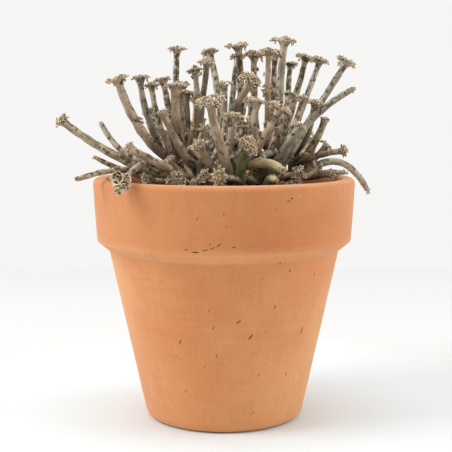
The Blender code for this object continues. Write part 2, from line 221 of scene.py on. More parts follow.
@dataclass
class Grid:
    """A surface as rows of points, closed round each row, and its attributes.

    points is (rows, columns, 3).  loops says whether the last row joins the first; where it
    doesn't, each end is closed by a pole at its row's middle.
    """

    points: np.ndarray
    vectors: dict[str, np.ndarray]
    loops: bool = False


def grid_faces(rows: int, columns: int, loops: bool) -> np.ndarray:
    """Quads between each row and the next, counterclockwise seen from outside.

    Args:
        rows, columns: the grid's size.
        loops: whether the last row joins the first.
    Returns:
        Vertex numbers, (faces, 4).
    """
    row = np.arange(rows if loops else rows - 1)[:, None] * columns
    after = (row + columns) % (rows * columns)
    column = np.arange(columns)[None, :]
    following = (column + 1) % columns
    quads = [row + column, row + following, after + following, after + column]
    return np.stack(quads, -1).reshape(-1, 4)


def fan_faces(pole: int, start: int, columns: int, outward: bool) -> np.ndarray:
    """Triangles from a pole to the row that starts at start, turned by outward."""
    column = start + np.arange(columns)
    following = start + (np.arange(columns) + 1) % columns
    first, second = (column, following) if outward else (following, column)
    return np.stack([first, second, np.full(columns, pole)], -1)


def joined(grids: list[Grid]) -> Mesh:
    """Several grids as one mesh."""
    verts: list[np.ndarray] = []
    quads: list[np.ndarray] = []
    triangles: list[np.ndarray] = []
    vectors: dict[str, list[np.ndarray]] = {name: [] for name in grids[0].vectors}
    start = 0
    for grid in grids:
        rows, columns, _ = grid.points.shape
        quads.append(start + grid_faces(rows, columns, grid.loops))
        verts.append(grid.points.reshape(-1, 3))
        for name, values in grid.vectors.items():
            vectors[name].append(values.reshape(-1, 3))
        count = rows * columns
        if not grid.loops:
            verts.append(grid.points[[0, -1]].mean(axis=1))
            for name, values in grid.vectors.items():
                vectors[name].append(values[[0, -1]].mean(axis=1))
            triangles.append(start + fan_faces(count, 0, columns, False))
            triangles.append(start + fan_faces(count + 1, count - columns, columns, True))
            count += 2
        start += count
    faces = [np.concatenate(quads)] + ([np.concatenate(triangles)] if triangles else [])
    return np.concatenate(verts), faces, {k: np.concatenate(v) for k, v in vectors.items()}


def make_piece(
    name: str, mesh_data: Mesh, material: bpy.types.Material, sharp: float = 60.0
) -> bpy.types.Object:
    """Put a mesh's arrays into an object, smooth but for edges sharper than sharp degrees."""
    verts, faces, vectors = mesh_data
    mesh = bpy.data.meshes.new(name)
    sizes = np.concatenate([np.full(len(block), block.shape[1]) for block in faces])
    corners = np.concatenate([block.ravel() for block in faces])
    mesh.vertices.add(len(verts))
    mesh.vertices.foreach_set("co", verts.astype(np.float32).ravel())
    mesh.loops.add(len(corners))
    mesh.loops.foreach_set("vertex_index", corners.astype(np.int32))
    mesh.polygons.add(len(sizes))
    starts = np.concatenate([[0], np.cumsum(sizes)[:-1]])
    mesh.polygons.foreach_set("loop_start", starts.astype(np.int32))
    mesh.update(calc_edges=True)
    for key, values in vectors.items():
        layer = mesh.attributes.new(key, "FLOAT_VECTOR", "POINT")
        layer.data.foreach_set("vector", values.astype(np.float32).ravel())
    mesh.validate()
    mesh.shade_smooth()
    mesh.set_sharp_from_angle(angle=math.radians(sharp))
    mesh.materials.append(material)
    piece = bpy.data.objects.new(name, mesh)
    bpy.context.scene.collection.objects.link(piece)
    return piece


def settle(piece: bpy.types.Object, slot: str, *nodes: str) -> bpy.types.Object:
    """Let a piece ride on the plant's body, log its slot, and hide the solids that it stands for.
    """
    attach(piece, BODY)
    if nodes:
        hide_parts(*nodes)
    LOG.info("%s: %d faces, slot %s", piece.name, len(piece.data.polygons), slot)
    return piece


def unit(vectors: np.ndarray) -> np.ndarray:
    """Vectors scaled to length 1 along the last axis."""
    return vectors / np.maximum(np.linalg.norm(vectors, axis=-1, keepdims=True), 1e-12)


def crosswise(axes: np.ndarray) -> tuple[np.ndarray, np.ndarray]:
    """Two directions at right angles to each axis and to each other."""
    helper = np.where(np.abs(axes[..., 2:]) < 0.9, [0, 0, 1.0], [1.0, 0, 0])
    first = unit(np.cross(helper, axes))
    return first, np.cross(axes, first)


def around(count: int) -> np.ndarray:
    """Evenly spaced angles round a circle, from 0."""
    return 2 * math.pi * np.arange(count) / count


def turned(radius: np.ndarray, angle: np.ndarray, height: np.ndarray) -> np.ndarray:
    """Points at a radius and an angle about Z, and at a height, along a new last axis."""
    return np.stack([radius * np.cos(angle), radius * np.sin(angle), height], -1)


def waves_round(angle: np.ndarray, highest: float) -> tuple[tuple[np.ndarray, float], ...]:
    """Axes for ripple that close round a circle."""
    return (np.cos(angle), highest), (np.sin(angle), highest)


def smooth_curve(points: np.ndarray, knots: np.ndarray, at: np.ndarray) -> np.ndarray:
    """A smooth curve through points, read at some lengths.

    Between two points it is the cubic whose slopes there are those of the parabolas through each
    point and its neighbours.

    Args:
        points: (n, k) points.
        knots: (n,) rising lengths of the points.
        at: the lengths to read.
    Returns:
        (len(at), k) points.
    """
    slopes = np.gradient(points, knots, axis=0)
    index = np.clip(np.searchsorted(knots, at, side="right") - 1, 0, len(knots) - 2)
    gap = np.diff(knots)[index][:, None]
    t = (at - knots[index])[:, None] / gap
    a, b, da, db = points[index], points[index + 1], slopes[index] * gap, slopes[index + 1] * gap
    return (
        a * (2 * t**3 - 3 * t**2 + 1)
        + da * (t**3 - 2 * t**2 + t)
        + b * (3 * t**2 - 2 * t**3)
        + db * (t**3 - t**2)
    )


def lengths_of(points: np.ndarray) -> np.ndarray:
    """Rising lengths along a run of points, from 0."""
    steps = np.linalg.norm(np.diff(points, axis=0), axis=1) + 1e-6
    return np.concatenate([[0.0], np.cumsum(steps)])


def ripple(
    rng: np.random.Generator, *axes: tuple[np.ndarray, float], terms: int = 6
) -> np.ndarray:
    """Gentle random waves from about -1 to 1 over some coordinates.

    It is the mean of a few sines of random direction and phase, scaled by two.

    Args:
        rng: the source of the waves.
        axes: pairs of a coordinate array and its highest frequency in radians per unit.
        terms: how many sines.
    Returns:
        An array of the coordinates' common shape.
    """
    total = 0.0
    for _ in range(terms):
        angle = rng.uniform(0, 2 * math.pi)
        for values, highest in axes:
            angle = angle + values * rng.uniform(-highest, highest)
        total = total + np.sin(angle)
    return total * 2 / terms


# ---------------------------------------------------------------- finishes


@dataclass(frozen=True)
class LeafFinish:
    """A mottled, waxy leaf: rosy below, paler and greyer above, with dark blotches.

    edge sets how much the blotches cover: less for a higher edge.  The scales are lumps per
    metre: of the broad shades, the blotches, the fine streaks, the bars that break the blotches
    up, the specks and the waxy bloom.
    """

    pale: Colour
    ground: Colour
    under: Colour
    dark: Colour
    edge: float
    wax: Colour = (0.64, 0.56, 0.45)
    # foot is the colour of a painted shade that darkens each leaf towards its foot, where the
    # leaves crowd together.
    foot: Colour = (0.040, 0.031, 0.019)
    broad_scale: float = 170.0
    blotch_scale: float = 500.0
    streak_scale: float = 1300.0
    bar_scale: float = 430.0
    speck_scale: float = 2600.0
    bloom_scale: float = 300.0
    relief: float = 0.0004

    def material(self, name: str) -> bpy.types.Material:
        """Return the leaf's material.

        leaf_grain holds the place in the straightened leaf, in metres; leaf_place holds the share
        of the length, how far the side faces up (-1 to 1) and the leaf's own shade (0 to 1).
        """
        s = Surface(name)
        grain = s.add("ShaderNodeAttribute", {"attribute_name": "leaf_grain"}, {}, "Vector")
        along, upper, shade = s.attribute("leaf_place")
        broad = s.noise(grain, self.broad_scale, 2.0, stretch=(1.0, 1.0, 0.6))
        patches = s.noise(grain, self.blotch_scale, 4.0, 0.6, (1.0, 1.0, 0.66))
        streaks = s.noise(grain, self.streak_scale, 3.0, 0.6, (1.0, 1.0, 0.10))
        bars = s.noise(grain, self.bar_scale, 3.0, stretch=(0.4, 0.4, 1.0))
        specks = s.noise(grain, self.speck_scale, 2.0)
        bloom = s.noise(grain, self.bloom_scale, 4.0, 0.7).between(0.45, 0.8)
        pull = upper * 0.075 + (patches - 0.5) * 0.95 + (bars - 0.5) * 0.50
        pull = pull + (shade - 0.5) * 0.06
        colour = s.coats(
            self.under,
            (upper.between(-0.7, 0.45), self.ground),
            (upper.between(0.55, 1.0) * 0.35, self.pale),
            (broad.between(0.38, 0.62) * 0.85, self.pale),
            (streaks.between(0.52, 0.72) * 0.55, self.pale),
            (streaks.between(0.46, 0.28) * 0.35, self.dark),
            (pull.between(self.edge - 0.07, self.edge) * 0.28, self.pale),
            (pull.between(self.edge - 0.05, self.edge + 0.11) * 0.90, self.dark),
            (specks.between(0.60, 0.72) * 0.4, self.dark),
            (bloom * 0.17, self.wax),
            # Painted shade: the lowest 42 % of the leaf darkens towards its foot.
            (along.between(0.42, 0.0) * 0.72, self.foot),
        )
        # Painted light: the side that faces up is made lighter; shade is the leaf's own random
        # tone.
        light = (0.80 + shade * 0.50) * (0.80 + upper.between(-0.9, 0.3) * 0.26)
        height = patches * 0.5 + streaks * 0.45 + specks * 0.3
        return s.finish(
            Base_Color=s.tint(colour, light),
            Roughness=0.56 + bloom * 0.22,
            Normal=s.bump(height, self.relief, 0.7),
            Specular_IOR_Level=0.22,
        )


@dataclass(frozen=True)
class PlantletFinish:
    """Tiny cupped leaflets: pale rims round a darker cup, some dried to straw and orange."""

    rim: Colour = (0.88, 0.74, 0.56)
    cup: Colour = (0.105, 0.080, 0.056)
    dry: Colour = (0.76, 0.54, 0.31)
    fresh: Colour = (0.42, 0.40, 0.10)
    mottle_scale: float = 1500.0
    relief: float = 0.0002

    def material(self) -> bpy.types.Material:
        """Return the plantlets' material.

        plantlet holds how near the leaflet's edge a point is, the rosette's dryness (to 1 for
        straw, to -1 for yellow-green) and its shade.
        """
        s = Surface("plantlets")
        rim, dryness, shade = s.attribute("plantlet")
        mottle = s.noise(s.object_coordinates(), self.mottle_scale, 3.0, 0.6)
        colour = s.coats(
            self.cup,
            ((rim + (mottle - 0.5) * 0.9).between(0.42, 0.80), self.rim),
            (dryness.between(0.55, 0.92) * 0.8, self.dry),
            (dryness.between(-0.5, -1.0) * 0.75, self.fresh),
        )
        return s.finish(
            Base_Color=s.tint(colour, 0.72 + shade * 0.5),
            Roughness=0.7,
            Normal=s.bump(mottle, self.relief, 0.5),
            Specular_IOR_Level=0.3,
        )


@dataclass(frozen=True)
class Nick:
    """A small dark mark in the clay.

    turn is degrees to the right of the front, height is in metres, half_length runs along the
    mark, which leans lean degrees from upright, and ink is how dark it is.
    """

    turn: float
    height: float
    half_length: float
    half_width: float
    lean: float
    ink: float


FRONT_NICKS = [
    (-15.5, 0.1052, 0.0017, 0.0004, 80, 0.6), (-11.5, 0.104, 0.0026, 0.0005, 86, 0.95),
    (-7.5, 0.1052, 0.0022, 0.0004, 78, 0.8), (-4.5, 0.1062, 0.0014, 0.0005, 60, 0.9),
    (-2, 0.1078, 0.002, 0.0004, 52, 0.8), (-5.5, 0.1082, 0.0008, 0.0004, 10, 0.8),
    (-10.5, 0.1212, 0.0018, 0.0004, 12, 0.6), (-13.5, 0.114, 0.0014, 0.0003, 0, 0.35),
    (0, 0.1235, 0.0009, 0.0004, 0, 0.5), (1, 0.1175, 0.0007, 0.0006, 0, 0.35),
    (28, 0.1312, 0.0012, 0.0005, 75, 0.85), (26.5, 0.1298, 0.0014, 0.0004, 80, 0.7),
    (21.5, 0.1262, 0.0012, 0.0003, 5, 0.55), (4, 0.1068, 0.0012, 0.0005, 80, 0.8),
    (32.5, 0.0918, 0.0009, 0.0006, 20, 0.7), (26.5, 0.0967, 0.0008, 0.0005, 60, 0.6),
    (49.5, 0.0882, 0.0011, 0.0006, 0, 0.6), (53.5, 0.0965, 0.0009, 0.0006, 30, 0.5),
    (26.5, 0.0724, 0.0016, 0.0005, 15, 0.75), (7.5, 0.0652, 0.0024, 0.0006, 55, 0.85),
    (14.5, 0.0564, 0.0026, 0.0007, 50, 0.85), (-24.5, 0.0528, 0.0022, 0.0006, 35, 0.75),
    (-5.5, 0.0619, 0.0013, 0.0006, 20, 0.7), (-7.5, 0.0714, 0.001, 0.0005, 0, 0.6),
    (-4, 0.046, 0.0013, 0.0005, 40, 0.65), (21, 0.0341, 0.0012, 0.0005, 60, 0.6),
    (41, 0.0322, 0.0012, 0.0006, 20, 0.6), (-24.5, 0.0245, 0.0011, 0.0005, 30, 0.6),
    (-11, 0.0395, 0.0009, 0.0005, 0, 0.5), (48, 0.0566, 0.003, 0.0013, 25, 0.35),
    (19.5, 0.0119, 0.0012, 0.0005, 70, 0.55),
]
SIDE_AND_BACK_NICKS = [
    (-66, 0.123, 0.007, 0.0003, 0, 0.3), (120, 0.119, 0.0024, 0.0005, 40, 0.75),
    (95, 0.06, 0.003, 0.0006, 50, 0.75), (150, 0.082, 0.0018, 0.0006, 10, 0.7),
    (178, 0.1085, 0.003, 0.0005, 84, 0.85), (185, 0.048, 0.0024, 0.0006, 55, 0.75),
    (215, 0.07, 0.0016, 0.0006, 20, 0.7), (240, 0.124, 0.0016, 0.0005, 70, 0.7),
    (262, 0.088, 0.0022, 0.0006, 35, 0.7), (285, 0.035, 0.0016, 0.0006, 25, 0.7),
]
NICKS = [Nick(*row) for row in FRONT_NICKS + SIDE_AND_BACK_NICKS]


@dataclass(frozen=True)
class TerracottaFinish:
    """Fired clay: orange-buff, with fine sand, faint runs and turning rings, a limy bloom and
    nicks.
    Its pale and rusty colours also paint a highlight on the rubbed edges and a shade on the band.

    The scales are lumps per metre: of the drift of the clay's colour, the clouds, the turning
    rings, the runs, the limy bloom, the flecks and the sand; grains is per metre too.
    """

    body: Colour = (0.650, 0.220, 0.069)
    light: Colour = (0.725, 0.305, 0.112)
    # Also the colour of the painted shade over the band.
    rust_and_painted_shade: Colour = (0.470, 0.105, 0.028)
    # Also the colour of the painted highlight along the rubbed lip and the band's lower edge.
    lime_and_painted_highlight: Colour = (0.820, 0.560, 0.340)
    scar: Colour = (0.150, 0.055, 0.024)
    sheen: Colour = (1.0, 0.90, 0.68)
    drift_scale: float = 16.0
    cloud_scale: float = 60.0
    ring_scale: float = 120.0
    run_scale: float = 210.0
    bloom_scale: float = 90.0
    fleck_scale: float = 620.0
    sand_scale: float = 2000.0
    grains: float = 330.0
    relief: float = 0.0005

    def material(self) -> bpy.types.Material:
        """Return the clay's material; its wear attribute holds pits, rubbed edges with painted
        highlight, and darkening with painted band shade.
        """
        s = Surface("terracotta")
        place = s.object_coordinates()
        pits, wear_and_painted_highlight, inside_dark_and_painted_band_shade = s.attribute("pot_wear_and_painted_light")
        clouds = s.noise(place, self.cloud_scale, 4.0, 0.6)
        rings = s.noise(place, self.ring_scale, 3.0, stretch=(0.25, 0.25, 3.0))
        runs = s.noise(place, self.run_scale, 4.0, 0.6, (1.0, 1.0, 0.10))
        sand = s.noise(place, self.sand_scale, 3.0, 0.7)
        grit = s.cells(place, self.grains)
        colour = s.coats(
            self.body,
            (s.noise(place, self.drift_scale, 2.0).between(0.3, 0.7), self.light),
            (clouds.between(0.45, 0.75) * 0.22, self.rust_and_painted_shade),
            (rings.between(0.45, 0.7) * 0.22, self.light),
            (runs.between(0.52, 0.74) * 0.08, self.lime_and_painted_highlight),
            (runs.between(0.46, 0.28) * 0.11, self.rust_and_painted_shade),
            (s.noise(place, self.bloom_scale, 5.0, 0.7).between(0.60, 0.80) * 0.30, self.lime_and_painted_highlight),
            (sand.between(0.35, 0.75) * 0.16, self.lime_and_painted_highlight),
            (sand.between(0.42, 0.28) * 0.22, self.rust_and_painted_shade),
            (grit.between(0.17, 0.09) * 0.35, self.rust_and_painted_shade),
            (s.noise(place, self.fleck_scale, 2.0).between(0.70, 0.76) * 0.30, self.scar),
            # Pale coat on the rubbed lip and the band's lower edge: partly wear, partly a painted
            # highlight.
            (wear_and_painted_highlight * 0.26, self.lime_and_painted_highlight),
            # Darker coat down the inside below the lip, and a painted shade over the band.
            (inside_dark_and_painted_band_shade * 0.55, self.rust_and_painted_shade),
            (pits * 0.7, self.scar),
        )
        height = sand * 0.35 + rings * 0.30 + runs * 0.25 + clouds * 0.4
        height = height - grit.between(0.2, 0.08) * 0.4
        return s.finish(
            Base_Color=colour,
            Roughness=0.88 - wear_and_painted_highlight * 0.06,
            Normal=s.bump(height, self.relief, 0.35),
            Specular_IOR_Level=0.25,
            Sheen_Weight=0.28,
            Sheen_Roughness=0.6,
            Sheen_Tint=self.sheen,
        )

    def nick_material(self) -> bpy.types.Material:
        """Return the nicks' material; nick_ink holds how dark a nick is."""
        s = Surface("clay_scar")
        ink, _, _ = s.attribute("nick_ink")
        grain = s.noise(s.object_coordinates(), self.sand_scale * 1.25, 3.0, 0.6)
        colour = s.coats(self.body, (ink - (grain - 0.5) * 0.8, self.scar))
        return s.finish(Base_Color=colour, Roughness=0.92, Specular_IOR_Level=0.15)


@dataclass(frozen=True)
class MixFinish:
    """Potting mix: near-black peat with brown crumbs, and pale grit by attribute."""

    peat: Colour = (0.030, 0.020, 0.013)
    crumb: Colour = (0.120, 0.075, 0.045)
    stone: Colour = (0.420, 0.380, 0.320)
    crumb_scale: float = 700.0
    relief: float = 0.0008

    def material(self) -> bpy.types.Material:
        """Return the mix's material; grit_kind holds how stony a point is, and its shade."""
        s = Surface("potting_mix")
        stony, shade, _ = s.attribute("grit_kind")
        crumbs = s.noise(s.object_coordinates(), self.crumb_scale, 4.0, 0.7)
        coats = (crumbs.between(0.45, 0.75), self.crumb), (stony, self.stone)
        return s.finish(
            Base_Color=s.tint(s.coats(self.peat, *coats), 0.6 + shade * 0.8),
            Roughness=0.92,
            Normal=s.bump(crumbs, self.relief, 0.8),
            Specular_IOR_Level=0.25,
        )


@dataclass(frozen=True)
class BarkFinish:
    """A woody young stem: grey-brown, ringed and cracked."""

    bark: Colour = (0.200, 0.150, 0.105)
    crack: Colour = (0.060, 0.042, 0.030)
    crack_scale: float = 1400.0
    relief: float = 0.0006

    def material(self) -> bpy.types.Material:
        """Return the bark's material."""
        s = Surface("stem_bark")
        place = s.object_coordinates()
        cracks = s.noise(place, self.crack_scale, 4.0, 0.7, (1.0, 1.0, 0.2))
        colour = s.coats(self.bark, (cracks.between(0.4, 0.65), self.crack))
        normal = s.bump(cracks, self.relief, 0.8)
        return s.finish(Base_Color=colour, Roughness=0.9, Normal=normal)


class Tone(Enum):
    """The casts of leaf colour; the first three are the record's material slots."""

    ROSY = "leaf_rosy"
    GREY = "leaf_grey"
    OLIVE = "leaf_olive"
    GREEN = "leaf_green"
    PALE = "leaf_pale"

    @property
    def slot(self) -> str:
        """The record's material slot for this cast."""
        return self.value if self in (Tone.ROSY, Tone.GREY, Tone.OLIVE) else Tone.OLIVE.value


LEAF_FINISHES = {
    Tone.ROSY: LeafFinish(
        pale=(0.61, 0.485, 0.345), ground=(0.335, 0.246, 0.158), under=(0.31, 0.216, 0.139),
        dark=(0.046, 0.030, 0.018), edge=0.045,
    ),
    Tone.GREY: LeafFinish(
        pale=(0.62, 0.550, 0.415), ground=(0.30, 0.264, 0.198), under=(0.30, 0.242, 0.166),
        dark=(0.040, 0.033, 0.023), edge=0.020,
    ),
    Tone.OLIVE: LeafFinish(
        pale=(0.56, 0.470, 0.310), ground=(0.26, 0.214, 0.135), under=(0.27, 0.206, 0.123),
        dark=(0.038, 0.029, 0.016), edge=0.018,
    ),
    Tone.GREEN: LeafFinish(
        pale=(0.38, 0.405, 0.209), ground=(0.12, 0.183, 0.054), under=(0.13, 0.174, 0.065),
        dark=(0.04, 0.058, 0.021), edge=0.10,
    ),
    Tone.PALE: LeafFinish(
        pale=(0.56, 0.48, 0.29), ground=(0.38, 0.315, 0.165), under=(0.36, 0.29, 0.16),
        dark=(0.14, 0.125, 0.061), edge=0.13,
    ),
}


# ---------------------------------------------------------------- leaves


RING_SIDES = 8  # vertices in each ring of a leaf's solid
RING_GAP = 0.0012  # the least step between two rings
UNLINKED = 1.0  # longer than any walk over a leaf
FOOT_HEIGHT_WEIGHT = 0.4  # how a metre of height counts against one across, in finding a foot
HEAD_SHARE = 0.72  # a solid head's radius, as a share of its plantlets' reach
BALL_SHARE = 0.7  # the same for the balls that keep leaves apart
UP = np.array([0.0, 0.0, 1.0])


@dataclass
class Blade:
    """A leaf's axis and thickness, from its foot to its tip.

    axis is (n, 3) and radii (n,).  body counts the points before the flare, which is all of them
    at a bare tip.  head is the radius that the plantlets reach, or 0 at a bare tip.
    """

    axis: np.ndarray
    radii: np.ndarray
    body: int
    head: float = 0.0

    @property
    def ahead(self) -> np.ndarray:
        """The direction in which the tip points."""
        return unit(self.axis[-1] - self.axis[self.body - 2 if self.head else -3])


def rings_of(node: str, foot_near: np.ndarray) -> tuple[np.ndarray, np.ndarray]:
    """Centres and radii of the rings of a tube-shaped solid, from its foot to its tip.

    The solid's doubled corners are merged.  Its poles are, of the vertices with as many edges as
    a ring has sides, the two farthest apart, and the foot is the lower pole nearer foot_near.
    Steps over the edges from the foot reach ring after ring.  Where a ring misses vertices, the
    vertices are instead sorted by how much farther they are from the foot than from the tip, and
    cut where that jumps.

    Args:
        node: the solid's name.
        foot_near: an xy place.
    Returns:
        Centres (n, 3) and mean radii (n,).
    """
    mesh = frame["nodes"][node].data
    co = np.empty(len(mesh.vertices) * 3, np.float32)
    mesh.vertices.foreach_get("co", co)
    corners = np.empty(len(mesh.loops), np.int32)
    mesh.loops.foreach_get("vertex_index", corners)
    places, merged_to = np.unique(np.round(co.reshape(-1, 3), 6), axis=0, return_inverse=True)
    triangles = merged_to.ravel()[corners].reshape(-1, 3)
    walks = np.full((len(places), len(places)), UNLINKED)
    for a, b in ((0, 1), (1, 2), (2, 0)):
        p, q = triangles[:, a], triangles[:, b]
        walks[p, q] = walks[q, p] = np.linalg.norm(places[p] - places[q], axis=1)
    touching = walks < UNLINKED
    np.fill_diagonal(walks, 0.0)
    for _ in range(5):
        walks = np.min(walks[:, :, None] + walks[None], axis=1)
    fans = np.nonzero(touching.sum(axis=1) == RING_SIDES)[0]
    ends = fans[list(np.unravel_index(np.argmax(walks[np.ix_(fans, fans)]), (len(fans),) * 2))]
    across = np.linalg.norm(places[ends, :2] - foot_near, axis=1)
    away = across + FOOT_HEIGHT_WEIGHT * places[ends, 2]
    foot, tip = ends[np.argsort(away)]
    levels = [np.arange(len(places)) == foot]
    reached = levels[0].copy()
    while not reached.all():
        levels.append(touching[levels[-1]].any(axis=0) & ~reached)
        reached |= levels[-1]
    rings = [np.nonzero(level)[0] for level in levels]
    if len({len(ring) for ring in rings[1:-1]}) > 1:
        along = walks[foot] - walks[tip]
        order = np.argsort(along)
        rings = np.split(order, np.nonzero(np.diff(along[order]) > RING_GAP)[0] + 1)
    centres = np.array([places[ring].mean(axis=0) for ring in rings])
    radii = [np.linalg.norm(places[ring] - c, axis=1).mean() for ring, c in zip(rings, centres)]
    return centres, np.array(radii)


def grown(foot: np.ndarray, tip: np.ndarray, bow: float, radius: float, head: float) -> Blade:
    """A blade from foot to tip, with its middle bowed outward and down by bow.

    Its thickness rises to radius over the first 40 % and falls to 80 % at the tip.
    """
    t = np.linspace(0, 1, 12)[:, None]
    chord = unit(tip - foot)
    down = unit(chord * chord[2] - UP)
    middle = (foot + tip) / 2 + 2 * bow * down
    axis = (1 - t) ** 2 * foot + 2 * t * (1 - t) * middle + t**2 * tip
    radii = radius * np.interp(t[:, 0], [0, 0.15, 0.4, 1.0], [0.5, 0.72, 1.0, 0.8])
    if head > 0:
        return Blade(axis, radii, len(t) - 2, head)
    radii[-2:] *= [0.9, 0.55]
    return Blade(axis, radii, len(t))


HEAD_WAY = np.array([0.18, 0.36, 0.54, 0.72, 0.88, 1.0, 0.86, 0.50])  # towards the rim, and back
HEAD_RISE = np.array([0.16, 0.32, 0.47, 0.60, 0.70, 0.78, 0.80, 0.72])  # shares of its height


@dataclass
class LeafMaker:
    """Lofts leaves along their blades.

    sides and rows count the points round a leaf and along its body, and lobes the scallops of
    its head.  groove, lump, ruffle and scallop are the depth of the channel along the upper side
    and the heights of uneven swellings, of finer ones and of the lobes, as shares of the half
    thickness.  flare is the fleshy head's radius as a share of the plantlets' reach.  waver is
    how far, in metres, the axis strays.
    """

    sides: int = 20
    rows: int = 46
    groove: float = 0.14
    groove_angle: float = 0.45
    lump: float = 0.065
    ruffle: float = 0.35 * 0.065
    scallop: float = 0.16
    flare: float = 0.70
    lobes: int = 7
    waver: float = 0.0003
    least_head: float = 0.003

    def flared(
        self, blade: Blade, centres: np.ndarray, radii: np.ndarray
    ) -> tuple[np.ndarray, np.ndarray, np.ndarray]:
        """Return the rings of a flared head.

        The radius grows as a power of the way to the rim, then turns in to a shallow dish.

        Args:
            blade: the leaf.
            centres, radii: the rings of its body.
        Returns:
            The head's centres, its radii and the direction it grows in.
        """
        step = blade.axis[-1] - centres[-1]
        tall = max(float(np.linalg.norm(step)), self.least_head)
        rim = self.flare * blade.head
        wide = radii[-1] + (rim - radii[-1]) * HEAD_WAY**1.9
        wide[-2:] = rim * HEAD_WAY[-2:]
        return centres[-1] + HEAD_RISE[:, None] * tall * unit(step), wide, unit(step)

    def loft(self, blade: Blade, rng: np.random.Generator) -> Grid:
        """Return a leaf's surface.

        A ring of radius r(s) is carried along the axis.  The ring's radius is r times 1, less a
        groove (a bell of the angle from the upper side), plus random ripples over angle and
        length.  A head is scalloped.  A bare tip is rounded off as a quarter circle.
        """
        knots = lengths_of(blade.axis[: blade.body])
        at = np.linspace(0, knots[-1], self.rows)
        centres = smooth_curve(blade.axis[: blade.body], knots, at)
        radii = np.interp(at, knots, blade.radii[: blade.body])
        radii = np.maximum(radii, np.interp(at, [0, 0.004], [0.62, 1.0]) * blade.radii[1])
        tangents = unit(np.gradient(centres, axis=0))
        flare = np.zeros(len(at))
        if blade.head > 0:
            tops, wide, towards = self.flared(blade, centres, radii)
            centres, radii = np.concatenate([centres, tops]), np.concatenate([radii, wide])
            flare = np.concatenate([flare, HEAD_WAY**2])
            tangents = np.concatenate([tangents, np.repeat(towards[None], len(tops), axis=0)])
        else:
            cap = 0.9 * radii[-4]
            left = np.clip((at[-1] - at) / cap, 0.03, 1)
            radii = radii * np.sqrt(np.clip(1 - (1 - left) ** 2, 0, 1))
        out = blade.axis[-1, :2] - blade.axis[0, :2]
        level = unit(np.array([-out[1], out[0], 0.0]) + 1e-9)
        side = unit(level - tangents * (tangents @ level)[:, None])
        upper = np.cross(side, tangents)
        if upper[: len(at), 2].sum() < 0:
            side, upper = -side, -upper
        travelled = lengths_of(centres)
        length = travelled[-1]
        angle, run = np.meshgrid(around(self.sides), travelled)
        from_top = np.abs((angle - math.pi / 2 + math.pi) % (2 * math.pi) - math.pi)
        taper = np.clip(np.minimum(run / (0.15 * length), (length - run) / (0.12 * length)), 0, 1)
        shape = 1 - self.groove * np.exp(-((from_top / self.groove_angle) ** 2)) * taper
        shape += self.lump * ripple(rng, *waves_round(angle, 1.2), (run, 900.0))
        shape += self.ruffle * ripple(rng, (run, 2600.0), (np.cos(angle), 3.0))
        lobes = np.cos(self.lobes * angle + rng.uniform(0, 6.3))
        shape += self.scallop * lobes * flare[:, None]
        radius = radii[:, None] * shape
        bend = self.waver * ripple(rng, (travelled, 200.0), terms=3)
        bend = bend * np.clip(travelled / 0.01, 0, 1)
        section = turned(radius, angle, run)
        points = (
            (centres + bend[:, None] * side)[:, None]
            + section[..., :1] * side[:, None]
            + section[..., 1:2] * upper[:, None]
        )
        grain = section + rng.uniform(0, 10, 3)
        shade = np.full(run.shape, rng.uniform(0, 1))
        place = np.stack([run / length, np.sin(angle), shade], -1)
        return Grid(points, {"leaf_grain": grain, "leaf_place": place})


@dataclass(frozen=True)
class HeadStyle:
    """How the plantlets of a head look.

    size scales their leaflets, narrow makes them thinner, dry shifts them to straw (up) or to
    yellow-green (down), crowd scales how many there are, reach how far out they stand, and
    bleach how far their cups are as pale as their rims.
    """

    size: float = 1.0
    narrow: float = 1.0
    dry: float = 0.0
    crowd: float = 1.0
    reach: float = 1.0
    bleach: float = 0.0


SMALL_HEAD = HeadStyle(size=0.72, reach=0.62, crowd=0.75, dry=0.25)
HEAD_STYLES = {
    "leaf_left_9": HeadStyle(
        size=1.45, narrow=1.5, crowd=0.55, reach=0.62, dry=-0.2, bleach=0.12
    ),
    "leaf_left_front_1": HeadStyle(size=0.95, reach=0.75, dry=0.1),
    "leaf_left_front_2": HeadStyle(size=0.85, reach=0.62, crowd=0.8, dry=0.18),
    "leaf_left_front_3": HeadStyle(size=1.05, dry=0.15, crowd=1.2, reach=0.9, bleach=0.35),
    "leaf_middle_front_3": HeadStyle(
        size=0.85, narrow=0.7, reach=0.60, dry=0.1, bleach=0.4
    ),
    "leaf_middle_front_4": HeadStyle(
        size=1.25, narrow=0.50, dry=-0.85, crowd=0.9, reach=0.55, bleach=0.6
    ),
    "leaf_right_front_3": HeadStyle(size=0.95, reach=0.8, dry=0.15, bleach=0.2),
    "leaf_right_back_1": HeadStyle(dry=0.22, bleach=0.2),
    "leaf_left_back_5": HeadStyle(dry=0.22, bleach=0.15),
    **{f"leaf_{name}": SMALL_HEAD for name in ("left_front_4", "right_1", "right_2", "right_3")},
    "leaf_right_5": SMALL_HEAD,
}


